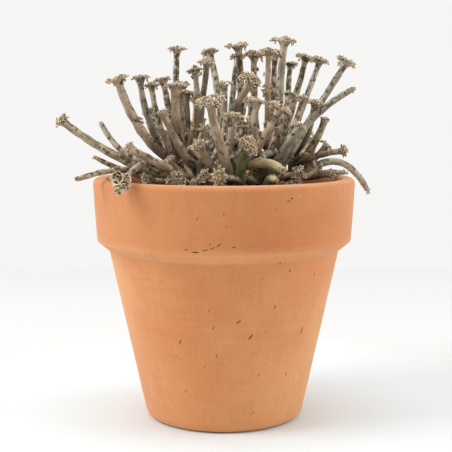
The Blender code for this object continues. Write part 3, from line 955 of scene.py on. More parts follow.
@dataclass
class RosetteMaker:
    """Makes plantlets: rosettes of cupped leaflets, all copies in whole arrays.

    outer and inner count the leaflets that lie flat and that stand up in the middle.  width is
    a leaflet's half breadth, cup the height of its raised edges as a share of that, and lift how
    far its end curves up, all for a length of 1.  A head of radius usual_head has rim_count
    rosettes round its rim and dish_count in its dish.
    """

    outer: int = 4
    inner: int = 3
    width: float = 0.40
    cup: float = 0.42
    lift: float = 0.22
    usual_head: float = 0.005
    rim_count: float = 8.0
    dish_count: float = 4.0
    tip_count: int = 4
    head_sizes: Span = (0.0022, 0.0029)
    tip_sizes: Span = (0.0011, 0.0018)

    def leaflet(self) -> tuple[np.ndarray, list[np.ndarray], np.ndarray]:
        """Return one leaflet of length 1 along +X: vertices, quads and triangles, rim values.

        Its outline is broadest at two thirds.  Each of its rings has two raised edges, a sunken
        upper middle and a keel under it.
        """
        x = np.array([0.18, 0.45, 0.74, 0.95])
        half = self.width * np.array([0.40, 0.86, 1.0, 0.62])
        across = np.array([1.0, 0.45, 0.0, -0.45, -1.0, 0.0])
        above = np.array([self.cup, 0.10, 0.0, 0.10, self.cup, -self.cup])
        rows, columns = len(x), len(across)
        y = half[:, None] * across
        z = (self.lift * x**2)[:, None] + half[:, None] * above
        ring = np.stack([np.repeat(x[:, None], columns, axis=1), y, z], -1)
        verts = np.concatenate([ring.reshape(-1, 3), [[0, 0, 0]], [[1.04, 0, 0.30]]])
        count = rows * columns
        base = fan_faces(count, 0, columns, False)
        end = fan_faces(count + 1, count - columns, columns, True)
        rim = np.tile([1.0, 0.35, 0.0, 0.35, 1.0, 0.55], (rows, 1))
        rim[-1] = [1.0, 0.9, 0.8, 0.9, 1.0, 0.9]
        marks = np.concatenate([rim.ravel(), [0.1, 1.0]])
        return verts, [grid_faces(rows, columns, False), np.concatenate([base, end])], marks

    def scatter(
        self,
        places: np.ndarray,
        axes: np.ndarray,
        sizes: np.ndarray,
        dryness: np.ndarray,
        rng: np.random.Generator,
        style: HeadStyle = HeadStyle(),
    ) -> Mesh:
        """Return many rosettes as one mesh.

        Args:
            places: (n, 3) middles.
            axes: (n, 3) directions that the rosettes face.
            sizes: (n,) leaflet lengths.
            dryness: (n,) from fresh, -1, to straw, 1.
            rng: turns, tilts and shades each one.
            style: its narrow and bleach are used.
        Returns:
            The mesh, with the attribute "plantlet".
        """
        verts, faces, rim = self.leaflet()
        verts = verts * [1.0, style.narrow, style.narrow**0.5]
        rim = np.maximum(rim, style.bleach)
        count, leaves = len(places), self.outer + self.inner
        facing = unit(axes)
        first, second = crosswise(facing)
        spread = np.concatenate(
            [np.arange(self.outer) / self.outer, np.arange(self.inner) / self.inner + 0.15]
        )
        turn = 2 * math.pi * (rng.uniform(0, 1, (count, 1)) + spread)
        turn = turn + rng.uniform(-0.25, 0.25, (count, leaves))
        standing = np.arange(leaves) >= self.outer
        reach = sizes[:, None] * np.where(standing, 0.62, 1.0)
        reach = reach * rng.uniform(0.78, 1.12, (count, leaves))
        tilt = np.where(standing, 0.85, 0.22) + rng.uniform(-0.2, 0.3, (count, leaves))
        out = np.cos(turn)[..., None] * first[:, None] + np.sin(turn)[..., None] * second[:, None]
        across = np.cross(facing[:, None], out)
        ahead = np.cos(tilt)[..., None] * out + np.sin(tilt)[..., None] * facing[:, None]
        local = verts[None, None] * reach[..., None, None]
        world = places[:, None, None]
        for part, axis in enumerate((ahead, across, np.cross(ahead, across))):
            world = world + local[..., part : part + 1] * axis[:, :, None]
        copies = count * leaves
        shade = np.repeat(rng.uniform(0, 1, copies), len(verts))
        dry = np.repeat(dryness, leaves * len(verts))
        marks = np.stack([np.tile(rim, copies), dry, shade], -1)
        return world.reshape(-1, 3), repeated(faces, copies, len(verts)), {"plantlet": marks}

    def head(self, blade: Blade, style: HeadStyle, rng: np.random.Generator) -> Mesh:
        """Return the plantlets of a flared head.

        A row of rosettes stands round the rim, facing out and up; a looser row hangs under it;
        a few fill the dish.  Triples of numbers are for these three rows.
        """
        top, ahead = blade.axis[-1], blade.ahead
        first, second = crosswise(ahead)
        big = blade.head / self.usual_head
        rim = max(round(6 * min(style.crowd, 1.0)), round(style.crowd * self.rim_count * big))
        under = max(1, round(0.3 * rim))
        dish = max(2, round(style.crowd * self.dish_count * big**2))
        count = rim + under + dish
        row = np.repeat([0, 1, 2], [rim, under, dish])
        even = 2 * math.pi * (np.arange(rim) + rng.uniform(-0.25, 0.25, rim)) / rim
        turn = np.concatenate([even, rng.uniform(0, 2 * math.pi, under + dish)])
        out = np.cos(turn)[:, None] * first + np.sin(turn)[:, None] * second
        share = rng.uniform([0.62, 0.55, 0.0], [0.78, 0.66, 0.36], (count, 3))
        drop = rng.uniform([0.0012, 0.0024, 0.0010], [0.0020, 0.0034, 0.0015], (count, 3))
        rise = rng.uniform([0.75, -0.3, 1.0], [1.60, 0.45, 1.6], (count, 3))
        picked = np.arange(count), row
        wide = style.reach * blade.head * rng.uniform(0.96, 1.30)
        places = top + out * wide * share[picked][:, None] - ahead * drop[picked][:, None]
        axes = out * np.array([0.55, 1.0, 0.30])[row][:, None] + ahead * rise[picked][:, None]
        scale = style.size * big**0.4 * rng.uniform(0.88, 1.18)
        sizes = rng.uniform(*self.head_sizes, count) * np.array([1.0, 0.72, 0.90])[row] * scale
        dryness = rng.uniform(0, 0.25) + rng.uniform(0, 0.62, count) ** 1.5 + style.dry
        return self.scatter(places, axes, sizes, np.clip(dryness, -1, 1), rng, style)

    def tip(self, blade: Blade, rng: np.random.Generator) -> Mesh:
        """Return the few small plantlets at the end of a bare tip."""
        wander = rng.normal(0, 0.6, (self.tip_count, 3))
        back = rng.uniform(0.0002, 0.0022, self.tip_count)[:, None]
        places = blade.axis[-1] - blade.ahead * back + wander * 0.0009
        sizes = rng.uniform(*self.tip_sizes, self.tip_count)
        dryness = rng.uniform(0.2, 0.9, self.tip_count)
        return self.scatter(places, blade.ahead + wander, sizes, dryness, rng)


def repeated(faces: list[np.ndarray], copies: int, count: int) -> list[np.ndarray]:
    """The face lists of a mesh of count vertices, repeated for each copy of it."""
    shift = (np.arange(copies) * count)[:, None, None]
    return [(block + shift).reshape(-1, block.shape[1]) for block in faces]


def merged(parts: list[Mesh]) -> Mesh:
    """Several meshes with the same attributes and face kinds as one."""
    starts = np.concatenate([[0], np.cumsum([len(verts) for verts, _, _ in parts])])
    faces = [
        np.concatenate([block[kind] + start for (_, block, _), start in zip(parts, starts)])
        for kind in range(len(parts[0][1]))
    ]
    names = parts[0][2]
    vectors = {name: np.concatenate([marks[name] for _, _, marks in parts]) for name in names}
    return np.concatenate([verts for verts, _, _ in parts]), faces, vectors


@dataclass
class Stem:
    """One stem of the plant, with the leaves that have solids.

    The post narrows to narrowing of its radius, and has a scar_height ridge every scar_step.
    """

    name: str
    sides: int = 20
    rows: int = 60
    narrowing: float = 0.78
    scar_step: float = 0.0085
    scar_height: float = 0.12

    def __post_init__(self) -> None:
        """Read the stem's place and its leaves' solids from the frame."""
        low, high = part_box(f"stem_{self.name}")
        self.place = np.array([(low[0] + high[0]) / 2, (low[1] + high[1]) / 2])
        self.low, self.top = low[2], high[2]
        self.radius = (high[0] - low[0]) / 2
        prefix = f"leaf_{self.name}_"
        numbered = [node for node in frame["nodes"] if node.removeprefix(prefix).isdigit()]
        self.blades = {node: self.blade(node) for node in sorted(numbered)}
        self.rng = np.random.default_rng(sum(31 * ord(letter) for letter in self.name))

    def blade(self, node: str) -> Blade:
        """Return the blade of one leaf's solid.

        A solid with a head widens before its last two rings.
        """
        centres, radii = rings_of(node, self.place)
        if radii[-2] > radii[-4] * 1.1:
            return Blade(centres, radii, len(radii) - 3, float(radii[-3] / HEAD_SHARE))
        return Blade(centres, radii, len(radii))

    def build(self, kit: "Kit") -> None:
        """Build the post, each leaf, and one piece with all their plantlets."""
        self.build_post(kit.bark)
        slots = {row["node"]: row["material_slot"] for row in frame["record"]["subparts"]}
        clusters = []
        for node, blade in self.blades.items():
            leaf = joined([kit.leaves.loft(blade, self.rng)])
            piece = make_piece(node.replace("leaf_", "blade_"), leaf, kit.tones[Tone(slots[node])])
            settle(piece, slots[node], node)
            clusters.append(kit.plantlets_of(blade, self.rng, HEAD_STYLES.get(node, HeadStyle())))
        piece = make_piece(f"plantlets_{self.name}", merged(clusters), kit.plantlet)
        settle(piece, Tone.ROSY.value)

    def build_post(self, bark: bpy.types.Material) -> None:
        """Loft the stem: a ringed, uneven post, wider at the scars between its whorls."""
        z = np.linspace(self.low, self.top - 0.001, self.rows)
        angle, height = np.meshgrid(around(self.sides), z)
        taper = np.interp(z, [self.low, self.top], [1.0, self.narrowing])[:, None]
        past_scar = (height - self.top) % self.scar_step - 0.004
        shape = taper * (0.94 + self.scar_height * np.exp(-((past_scar / 0.0011) ** 2)))
        shape = shape + 0.05 * ripple(self.rng, (height, 900.0), (np.cos(angle), 3.0))
        radius = self.radius * 0.97 * shape * np.clip((self.top - height) / 0.004, 0.35, 1)
        post = joined([Grid(turned(radius, angle, height) + [*self.place, 0.0], {})])
        piece = make_piece(f"post_{self.name}", post, bark)
        settle(piece, "stem_bark", f"stem_{self.name}")


@dataclass(frozen=True)
class Sprig:
    """A further leaf: its stem, foot's height, tip, bow, half thickness, head and colour."""

    stem: str
    foot: float
    tip: Place
    bow: float
    radius: float
    head: float
    tone: Tone


SPRIGS = [
    Sprig("middle_front", 0.146, (0.016, -0.012, 0.183), 0.003, 0.0019, 0.004, Tone.ROSY),
    Sprig("middle_front", 0.129, (0.011, -0.04, 0.155), -0.001, 0.003, 0, Tone.GREEN),
    Sprig("middle_front", 0.144, (0.0325, -0.049, 0.1435), -0.0045, 0.003, 0, Tone.PALE),
    Sprig("right", 0.136, (0.072, 0.015, 0.1395), -0.002, 0.0019, 0, Tone.GREY),
    Sprig("right", 0.144, (0.0525, 0.01, 0.1535), 0.001, 0.0028, 0, Tone.GREY),
    Sprig("right", 0.147, (0.0515, -0.007, 0.1425), -0.006, 0.002, 0, Tone.ROSY),
    Sprig("right_front", 0.132, (0.0405, -0.04, 0.1415), -0.003, 0.0019, 0.0038, Tone.OLIVE),
    Sprig("right_front", 0.13, (0.027, -0.0525, 0.1395), -0.004, 0.0026, 0, Tone.PALE),
    Sprig("right_back", 0.152, (0.031, 0.04, 0.212), 0.003, 0.002, 0.004, Tone.ROSY),
    Sprig("right", 0.15, (0.0515, -0.009, 0.182), 0.003, 0.0022, 0.0044, Tone.OLIVE),
    Sprig("left_back", 0.15, (-0.0255, 0.02, 0.1925), 0.002, 0.002, 0.0046, Tone.ROSY),
    Sprig("left_front", 0.13, (-0.043, -0.043, 0.1385), -0.003, 0.0018, 0.0036, Tone.OLIVE),
    Sprig("left_front", 0.131, (-0.026, -0.052, 0.1385), -0.003, 0.0018, 0.0042, Tone.GREY),
    Sprig("left_front", 0.132, (-0.0165, -0.055, 0.1375), -0.004, 0.002, 0, Tone.GREY),
    Sprig("left_front", 0.138, (-0.031, -0.034, 0.15), 0.001, 0.0018, 0.0034, Tone.ROSY),
]
# Plantlets caught on the leaves: a place near each, its leaflets' length and its dryness.
LOOSE_PLANTLETS = [
    ((-0.047, -0.01, 0.171), 0.002, 0.95), ((-0.0455, -0.009, 0.1695), 0.0016, 0.8),
    ((-0.0235, 0.004, 0.1815), 0.0017, -0.9), ((-0.024, 0.003, 0.1775), 0.0017, -0.6),
    ((-0.0225, 0.004, 0.1715), 0.0018, -0.9), ((-0.0215, 0.002, 0.166), 0.0016, -0.7),
    ((-0.017, -0.004, 0.201), 0.0021, -0.5), ((-0.0185, -0.004, 0.1985), 0.0019, 0.4),
    ((-0.015, -0.003, 0.196), 0.0018, 0.2), ((-0.0195, -0.002, 0.195), 0.0017, -0.6),
    ((0.0205, 0.016, 0.199), 0.002, 1), ((0.0225, 0.014, 0.1965), 0.0016, 0.95),
    ((0.0215, 0.008, 0.1905), 0.0019, -0.5), ((0.024, 0.009, 0.1875), 0.0019, 0.9),
    ((0.0225, 0.006, 0.185), 0.0018, -0.8), ((-0.054, -0.068, 0.133), 0.0033, -0.66),
    ((-0.0515, -0.068, 0.137), 0.0029, 0.1),
]


@dataclass
class Kit:
    """The makers and materials that the plant's pieces share."""

    leaves: LeafMaker
    young: LeafMaker
    rosettes: RosetteMaker
    tones: dict[Tone, bpy.types.Material]
    plantlet: bpy.types.Material
    bark: bpy.types.Material

    def plantlets_of(self, blade: Blade, rng: np.random.Generator, style: HeadStyle) -> Mesh:
        """Return the plantlets at a leaf's tip."""
        if blade.head > 0:
            return self.rosettes.head(blade, style, rng)
        return self.rosettes.tip(blade, rng)


Balls = tuple[np.ndarray, np.ndarray]  # points along leaves, and the radii of balls round them


def gathered(taken: list[Balls]) -> Balls:
    """All the points and all the radii of several leaves."""
    return np.concatenate([points for points, _ in taken]), np.concatenate([r for _, r in taken])


@dataclass
class Undergrowth:
    """The leaves without solids: those placed one by one, and shorter ones that fill the middle.

    A random leaf is kept where it clears the leaves before it; tries is how many are drawn, and
    wanted how many are kept.  sunk is how deep, in stem radii, a foot lies from the axis.
    ceiling and front_ceiling are how high the random leaves may reach in the middle and in
    front, and the outline falls by fall for each metre past shoulder.  The spans are of the
    random leaves: bows are shares of the length, and the share headed of them has heads.
    depth_weight is how much a step to the front or back counts when a loose plantlet looks for
    its nearest leaf.
    """

    stems: list[Stem]
    kit: Kit
    mix_top: float
    pot_radius: float
    wanted: int = 62
    tries: int = 4000
    clearance: float = -0.0004
    sunk: float = 0.6
    ceiling: float = 0.176
    front_ceiling: float = 0.150
    front: float = -0.022
    fall: float = 0.45
    shoulder: float = 0.030
    pot_margin: float = 0.013
    lengths: Span = (0.016, 0.042)
    leans: Span = (0.25, 1.25)
    bows: Span = (0.0, 0.12)
    half_widths: Span = (0.0014, 0.0023)
    heads: Span = (0.0028, 0.0042)
    headed: float = 0.45
    depth_weight: float = 0.35

    def foot_of(self, sprig: Sprig) -> np.ndarray:
        """Return where a sprig starts, in the side of its stem."""
        stem = next(stem for stem in self.stems if stem.name == sprig.stem)
        out = unit(np.array([*(np.array(sprig.tip[:2]) - stem.place), 0.0]))
        return np.array([*stem.place, sprig.foot]) + out * stem.radius * self.sunk

    def clears(self, blade: Blade, balls: Balls) -> bool:
        """Return whether the outer three quarters of a blade keep clear of some balls."""
        points, radii = balls
        own = blade.radii.copy()
        own[-2:] = max(own[-2], BALL_SHARE * blade.head)
        apart = np.linalg.norm(blade.axis[3:, None] - points[None], axis=-1)
        return bool((apart - own[3:, None] - radii[None]).min() > self.clearance)

    def balls(self, blade: Blade) -> Balls:
        """Return balls close along a blade."""
        knots = lengths_of(blade.axis)
        at = np.linspace(0, knots[-1], 28)
        radii = np.interp(at, knots, blade.radii)
        if blade.head > 0:
            radii[-4:] = BALL_SHARE * blade.head
        return smooth_curve(blade.axis, knots, at), radii

    def random_blade(self, stem: Stem, rng: np.random.Generator) -> Blade:
        """Draw a shorter leaf that leans out from a stem and curves up."""
        turn = rng.uniform(0, 2 * math.pi)
        out = np.array([math.cos(turn), math.sin(turn), 0.0])
        height = rng.uniform(self.mix_top + 0.003, stem.top - 0.002)
        foot = np.array([*stem.place, height]) + out * stem.radius * self.sunk
        length, lean = rng.uniform(*self.lengths), rng.uniform(*self.leans)
        tip = foot + length * (math.sin(lean) * out + math.cos(lean) * UP)
        head = rng.uniform(*self.heads) if rng.uniform() < self.headed else 0.0
        bow = rng.uniform(*self.bows) * length
        return grown(foot, tip, bow, rng.uniform(*self.half_widths), head)

    def fits(self, blade: Blade) -> bool:
        """Return whether a random leaf stays inside the plant's outline and above the mix."""
        x, y, z = blade.axis[-1]
        outline = self.ceiling - self.fall * max(0.0, abs(x - 0.005) - self.shoulder)
        ceiling = self.front_ceiling if y < self.front else outline
        inside = math.hypot(x, y) < self.pot_radius - self.pot_margin
        return bool(inside and z < ceiling and blade.axis[:, 2].min() > self.mix_top + 0.001)

    def perches(self, taken: list[Balls]) -> tuple[np.ndarray, np.ndarray]:
        """Return the loose plantlets' places, moved on to the leaf nearest to each, and outward.

        Args:
            taken: the balls along every leaf.
        Returns:
            (n, 3) places on the leaves' skins, and the (n, 3) directions out of them.
        """
        wanted = np.array([place for place, _, _ in LOOSE_PLANTLETS])
        points, radii = gathered(taken)
        offsets = (wanted[:, None] - points[None]) * [1.0, self.depth_weight, 1.0]
        nearest = np.argmin(np.linalg.norm(offsets, axis=-1) - radii, axis=1)
        outward = unit(offsets[np.arange(len(wanted)), nearest])
        moved = np.linalg.norm(points[nearest] - wanted, axis=1)
        LOG.info("loose plantlets: moved %.1f mm at most", 1000 * moved.max())
        return points[nearest] + outward * radii[nearest][:, None], outward

    def grow(self, taken: list[Balls], rng: np.random.Generator) -> list[tuple[Blade, Tone]]:
        """Return the sprigs and the random leaves that fit, and add their balls to taken.

        Every try is drawn, also past the last wanted leaf, so that wanted can change without
        changing the draws that follow.
        """
        leaves = []
        for sprig in SPRIGS:
            tip = np.array(sprig.tip)
            blade = grown(self.foot_of(sprig), tip, sprig.bow, sprig.radius, sprig.head)
            leaves.append((blade, sprig.tone))
            taken.append(self.balls(blade))
        full = len(leaves) + self.wanted
        for _ in range(self.tries):
            blade = self.random_blade(self.stems[rng.integers(len(self.stems))], rng)
            tone = list(Tone)[rng.integers(3)]
            if len(leaves) < full and self.fits(blade) and self.clears(blade, gathered(taken)):
                leaves.append((blade, tone))
                taken.append(self.balls(blade))
        LOG.info("undergrowth: %d leaves of %d", len(leaves), full)
        return leaves

    def build(self) -> None:
        """Grow the leaves, one piece for each colour, and one piece of their plantlets."""
        rng = np.random.default_rng(5)
        taken = [self.balls(blade) for stem in self.stems for blade in stem.blades.values()]
        leaves = self.grow(taken, rng)
        clusters = []
        for tone, material in self.kit.tones.items():
            blades = [blade for blade, leaf_tone in leaves if leaf_tone == tone]
            grids = [self.kit.young.loft(blade, rng) for blade in blades]
            name = tone.value.removeprefix("leaf_")
            settle(make_piece(f"undergrowth_{name}", joined(grids), material), tone.slot)
            clusters += [self.kit.plantlets_of(blade, rng, HeadStyle()) for blade in blades]
        places, outward = self.perches(taken)
        sizes = np.array([size for _, size, _ in LOOSE_PLANTLETS])
        dryness = np.array([dry for _, _, dry in LOOSE_PLANTLETS])
        axes = outward + rng.normal(0, 0.2, places.shape) + [0, -0.4, 0.2]
        clusters.append(self.kit.rosettes.scatter(places, axes, sizes, dryness, rng))
        piece = make_piece("plantlets_undergrowth", merged(clusters), self.kit.plantlet)
        settle(piece, Tone.ROSY.value)


# ---------------------------------------------------------------- pot and mix


@dataclass
class Pot:
    """The terracotta pot, turned from the sizes of its solid, with its wear and a painted
    highlight and shade.

    press and deepest are how far a pit goes into the wall, alone and where several meet;
    pit_shapes are widths over lengths, and pit_scars how dark.
    nick_thick and nick_sunk are half the thickness of a nick's lump and how deep its middle lies.
    """

    sides: int = 320
    band_height: float = 0.0355
    band_taper: float = 0.0022
    band_chamfer: float = 0.0056
    band_overhang: float = 0.0068
    foot_radius: float = 0.0448
    wall: float = 0.006
    lip_wall: float = 0.0085
    floor: float = 0.007
    drain_radius: float = 0.0075
    lip_round: float = 0.0036
    corner_round: float = 0.0016
    foot_round: float = 0.006
    drain_round: float = 0.0012
    floor_round: float = 0.008
    inner_round: float = 0.002
    step: float = 0.0016
    pits: int = 150
    pit_lengths: Span = (0.0003, 0.0009)
    pit_shapes: Span = (0.4, 0.9)
    pit_leans: Span = (-0.5, 0.5)
    pit_scars: Span = (0.1, 0.45)
    press: float = 0.00018
    deepest: float = 0.0005
    nick_thick: float = 0.00012
    nick_sunk: float = 0.00007

    def __post_init__(self) -> None:
        """Read the pot's outer sizes from its box."""
        _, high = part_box("pot")
        self.rim_radius = high[0]
        self.height = high[2]

    def profile(self) -> np.ndarray:
        """Return the section as (r, z) points, down the outside and up the inside.

        Straight runs are cut into steps, and corners are rounded by short quarter-like curves.
        """
        band_bottom = self.height - self.band_height
        body_top = band_bottom - self.band_chamfer
        body_radius = self.rim_radius - self.band_taper - self.band_overhang
        inner_lip = self.rim_radius - self.lip_wall
        slant = (body_radius - self.foot_radius) / body_top
        corners = [
            (inner_lip + self.lip_round * 1.25, self.height, 0.0),
            (self.rim_radius, self.height, self.lip_round),
            (self.rim_radius - self.band_taper, band_bottom, self.corner_round),
            (body_radius, body_top, self.corner_round * 1.2),
            (self.foot_radius, 0.0, self.foot_round),
            (self.drain_radius, 0.0, self.drain_round),
            (self.drain_radius, self.floor, self.drain_round),
            (self.foot_radius + slant * self.floor - self.wall, self.floor, self.floor_round),
            (body_radius - self.wall, body_top, self.inner_round),
            (inner_lip, body_top + 2 * self.band_chamfer, self.inner_round),
            (inner_lip, self.height, self.lip_round),
        ]
        points: list[np.ndarray] = []
        count = len(corners)
        for i in range(count):
            here = np.array(corners[i][:2])
            before = np.array(corners[i - 1][:2])
            after = np.array(corners[(i + 1) % count][:2])
            radius = corners[i][2]
            towards, onwards = unit(before - here), unit(after - here)
            if radius > 0:
                t = np.linspace(0, 1, 7)[:, None]
                bend = math.acos(float(np.clip(-towards @ onwards, -1, 1)))
                cut = radius * math.tan(bend / 2)
                start, end = here + towards * cut, here + onwards * cut
                curve = (1 - t) ** 2 * start + 2 * t * (1 - t) * here + t**2 * end
            else:
                curve = here[None]
            if points:
                gap = curve[0] - points[-1][-1]
                steps = int(np.linalg.norm(gap) / self.step)
                if steps > 1:
                    share = (np.arange(1, steps) / steps)[:, None]
                    points.append(points[-1][-1] + share * gap)
            points.append(curve)
        return np.concatenate(points)

    def build(self, finish: TerracottaFinish) -> None:
        """Turn the profile, press pits into the wall, mark its wear with painted highlight and
        shade, and add the nicks.
        """
        rng = np.random.default_rng(7)
        profile = self.profile()
        angle, _ = np.meshgrid(around(self.sides), profile[:, 0])
        radius = np.repeat(profile[:, :1], self.sides, axis=1)
        height = np.repeat(profile[:, 1:], self.sides, axis=1)
        underside = int(np.argmin(profile[:, 1] + 10 * (profile[:, 0] < 0.03)))
        outside = np.arange(len(profile)) < underside
        above_table = np.clip(height / 0.004, 0, 1)
        onto = outside[:, None] * above_table
        wave = 0.00012 * ripple(rng, (height, 260.0), terms=5)
        wave = wave + 0.00016 * ripple(rng, *waves_round(angle, 2.5), (height, 35.0))
        radius = radius + wave * above_table
        press, scar = self.pitted(angle, height, onto, rng)
        radius = radius - np.minimum(press, self.deepest)
        past_band = height - self.height + self.band_height
        # The lip and the band's lower edge are marked pale: partly rubbed wear, partly a painted
        # highlight where light catches these edges.
        wear_and_painted_highlight = np.exp(-(((height - self.height) / 0.0016) ** 2)) * 0.9
        wear_and_painted_highlight += 0.5 * np.exp(-((past_band / 0.0012) ** 2)) * onto
        wear_and_painted_highlight *= 0.6 + 0.5 * ripple(rng, *waves_round(angle, 6.0))
        # Darker down the inside below the lip; over the outside of the band, a painted shade.
        inside_dark_and_painted_band_shade = (~outside)[:, None] * np.clip((self.height - 0.006 - height) / 0.008, 0, 1)
        inside_dark_and_painted_band_shade = inside_dark_and_painted_band_shade + 0.50 * onto * np.clip(past_band / 0.004, 0, 1)
        marks = np.stack([np.clip(scar, 0, 1), np.clip(wear_and_painted_highlight, 0, 1), inside_dark_and_painted_band_shade], -1)
        grid = Grid(turned(radius, angle, height), {"pot_wear_and_painted_light": marks}, loops=True)
        verts, faces, vectors = joined([grid])
        clay = verts, [block[:, ::-1] for block in faces], vectors
        piece = make_piece("terracotta_pot", clay, finish.material(), sharp=75)
        settle(piece, "terracotta", "pot")
        self.build_nicks(radius[:underside], height[:underside, 0], finish.nick_material())

    def pitted(
        self, angle: np.ndarray, height: np.ndarray, onto: np.ndarray, rng: np.random.Generator
    ) -> tuple[np.ndarray, np.ndarray]:
        """Scatter pits over the wall, each a small leaning bell.

        Args:
            angle, height: the grid's points.
            onto: how far each point takes marks.
            rng: places, leans and sizes them.
        Returns:
            How deep the wall is pressed at each point, and how scarred it is.
        """
        press = np.zeros(angle.shape)
        scar = np.zeros(angle.shape)
        for _ in range(self.pits):
            where = rng.uniform(0, 2 * math.pi)
            z = rng.uniform(0.006, self.height - 0.004)
            lean = rng.uniform(*self.pit_leans)
            length = rng.uniform(*self.pit_lengths)
            width = length * rng.uniform(*self.pit_shapes)
            arc = ((angle - where + math.pi) % (2 * math.pi) - math.pi) * self.rim_radius * 0.85
            rise = height - z
            along = arc * math.sin(lean) + rise * math.cos(lean)
            across = arc * math.cos(lean) - rise * math.sin(lean)
            mark = np.exp(-((along / length) ** 2) - (across / width) ** 2) * onto
            press += mark * self.press
            scar += mark * rng.uniform(*self.pit_scars)
        return press, scar

    def build_nicks(
        self, radius: np.ndarray, height: np.ndarray, material: bpy.types.Material
    ) -> None:
        """Press the nicks into the wall: flat dark lumps, sunk but for their tops.

        Args:
            radius: (rows, sides) radii of the outside's grid, from the lip down.
            height: (rows,) heights of its rows.
            material: the scars' material.
        """
        rng = np.random.default_rng(11)
        grids = []
        latitudes = np.linspace(0.15, math.pi - 0.15, 9)
        phi, theta = np.meshgrid(latitudes, around(12), indexing="ij")
        for nick in NICKS:
            ragged = 1 + 0.4 * ripple(rng, (phi, 6.0), *waves_round(theta, 2.0))
            across = nick.half_width * np.sin(phi) * np.cos(theta) * ragged
            along = nick.half_length * np.cos(phi) * (0.8 + 0.2 * ragged)
            depth = self.nick_thick * np.sin(phi) * np.sin(theta)
            lean = math.radians(nick.lean)
            rise = along * math.cos(lean) - across * math.sin(lean) + nick.height
            arc = along * math.sin(lean) + across * math.cos(lean)
            turn = math.radians(nick.turn) + arc / self.rim_radius - math.pi / 2
            row = np.interp(-rise, -height, np.arange(len(height)))
            column = (turn / (2 * math.pi) * self.sides) % self.sides
            above, left = row.astype(int), column.astype(int)
            below, right = np.minimum(above + 1, len(height) - 1), (left + 1) % self.sides
            down, over = row - above, column - left
            wall = (1 - down) * ((1 - over) * radius[above, left] + over * radius[above, right])
            wall = wall + down * ((1 - over) * radius[below, left] + over * radius[below, right])
            points = turned(wall - self.nick_sunk + depth, turn, rise)
            ink = np.zeros(points.shape)
            ink[..., 0] = nick.ink
            grids.append(Grid(points, {"nick_ink": ink}))
        settle(make_piece("pot_nicks", joined(grids), material), "terracotta")


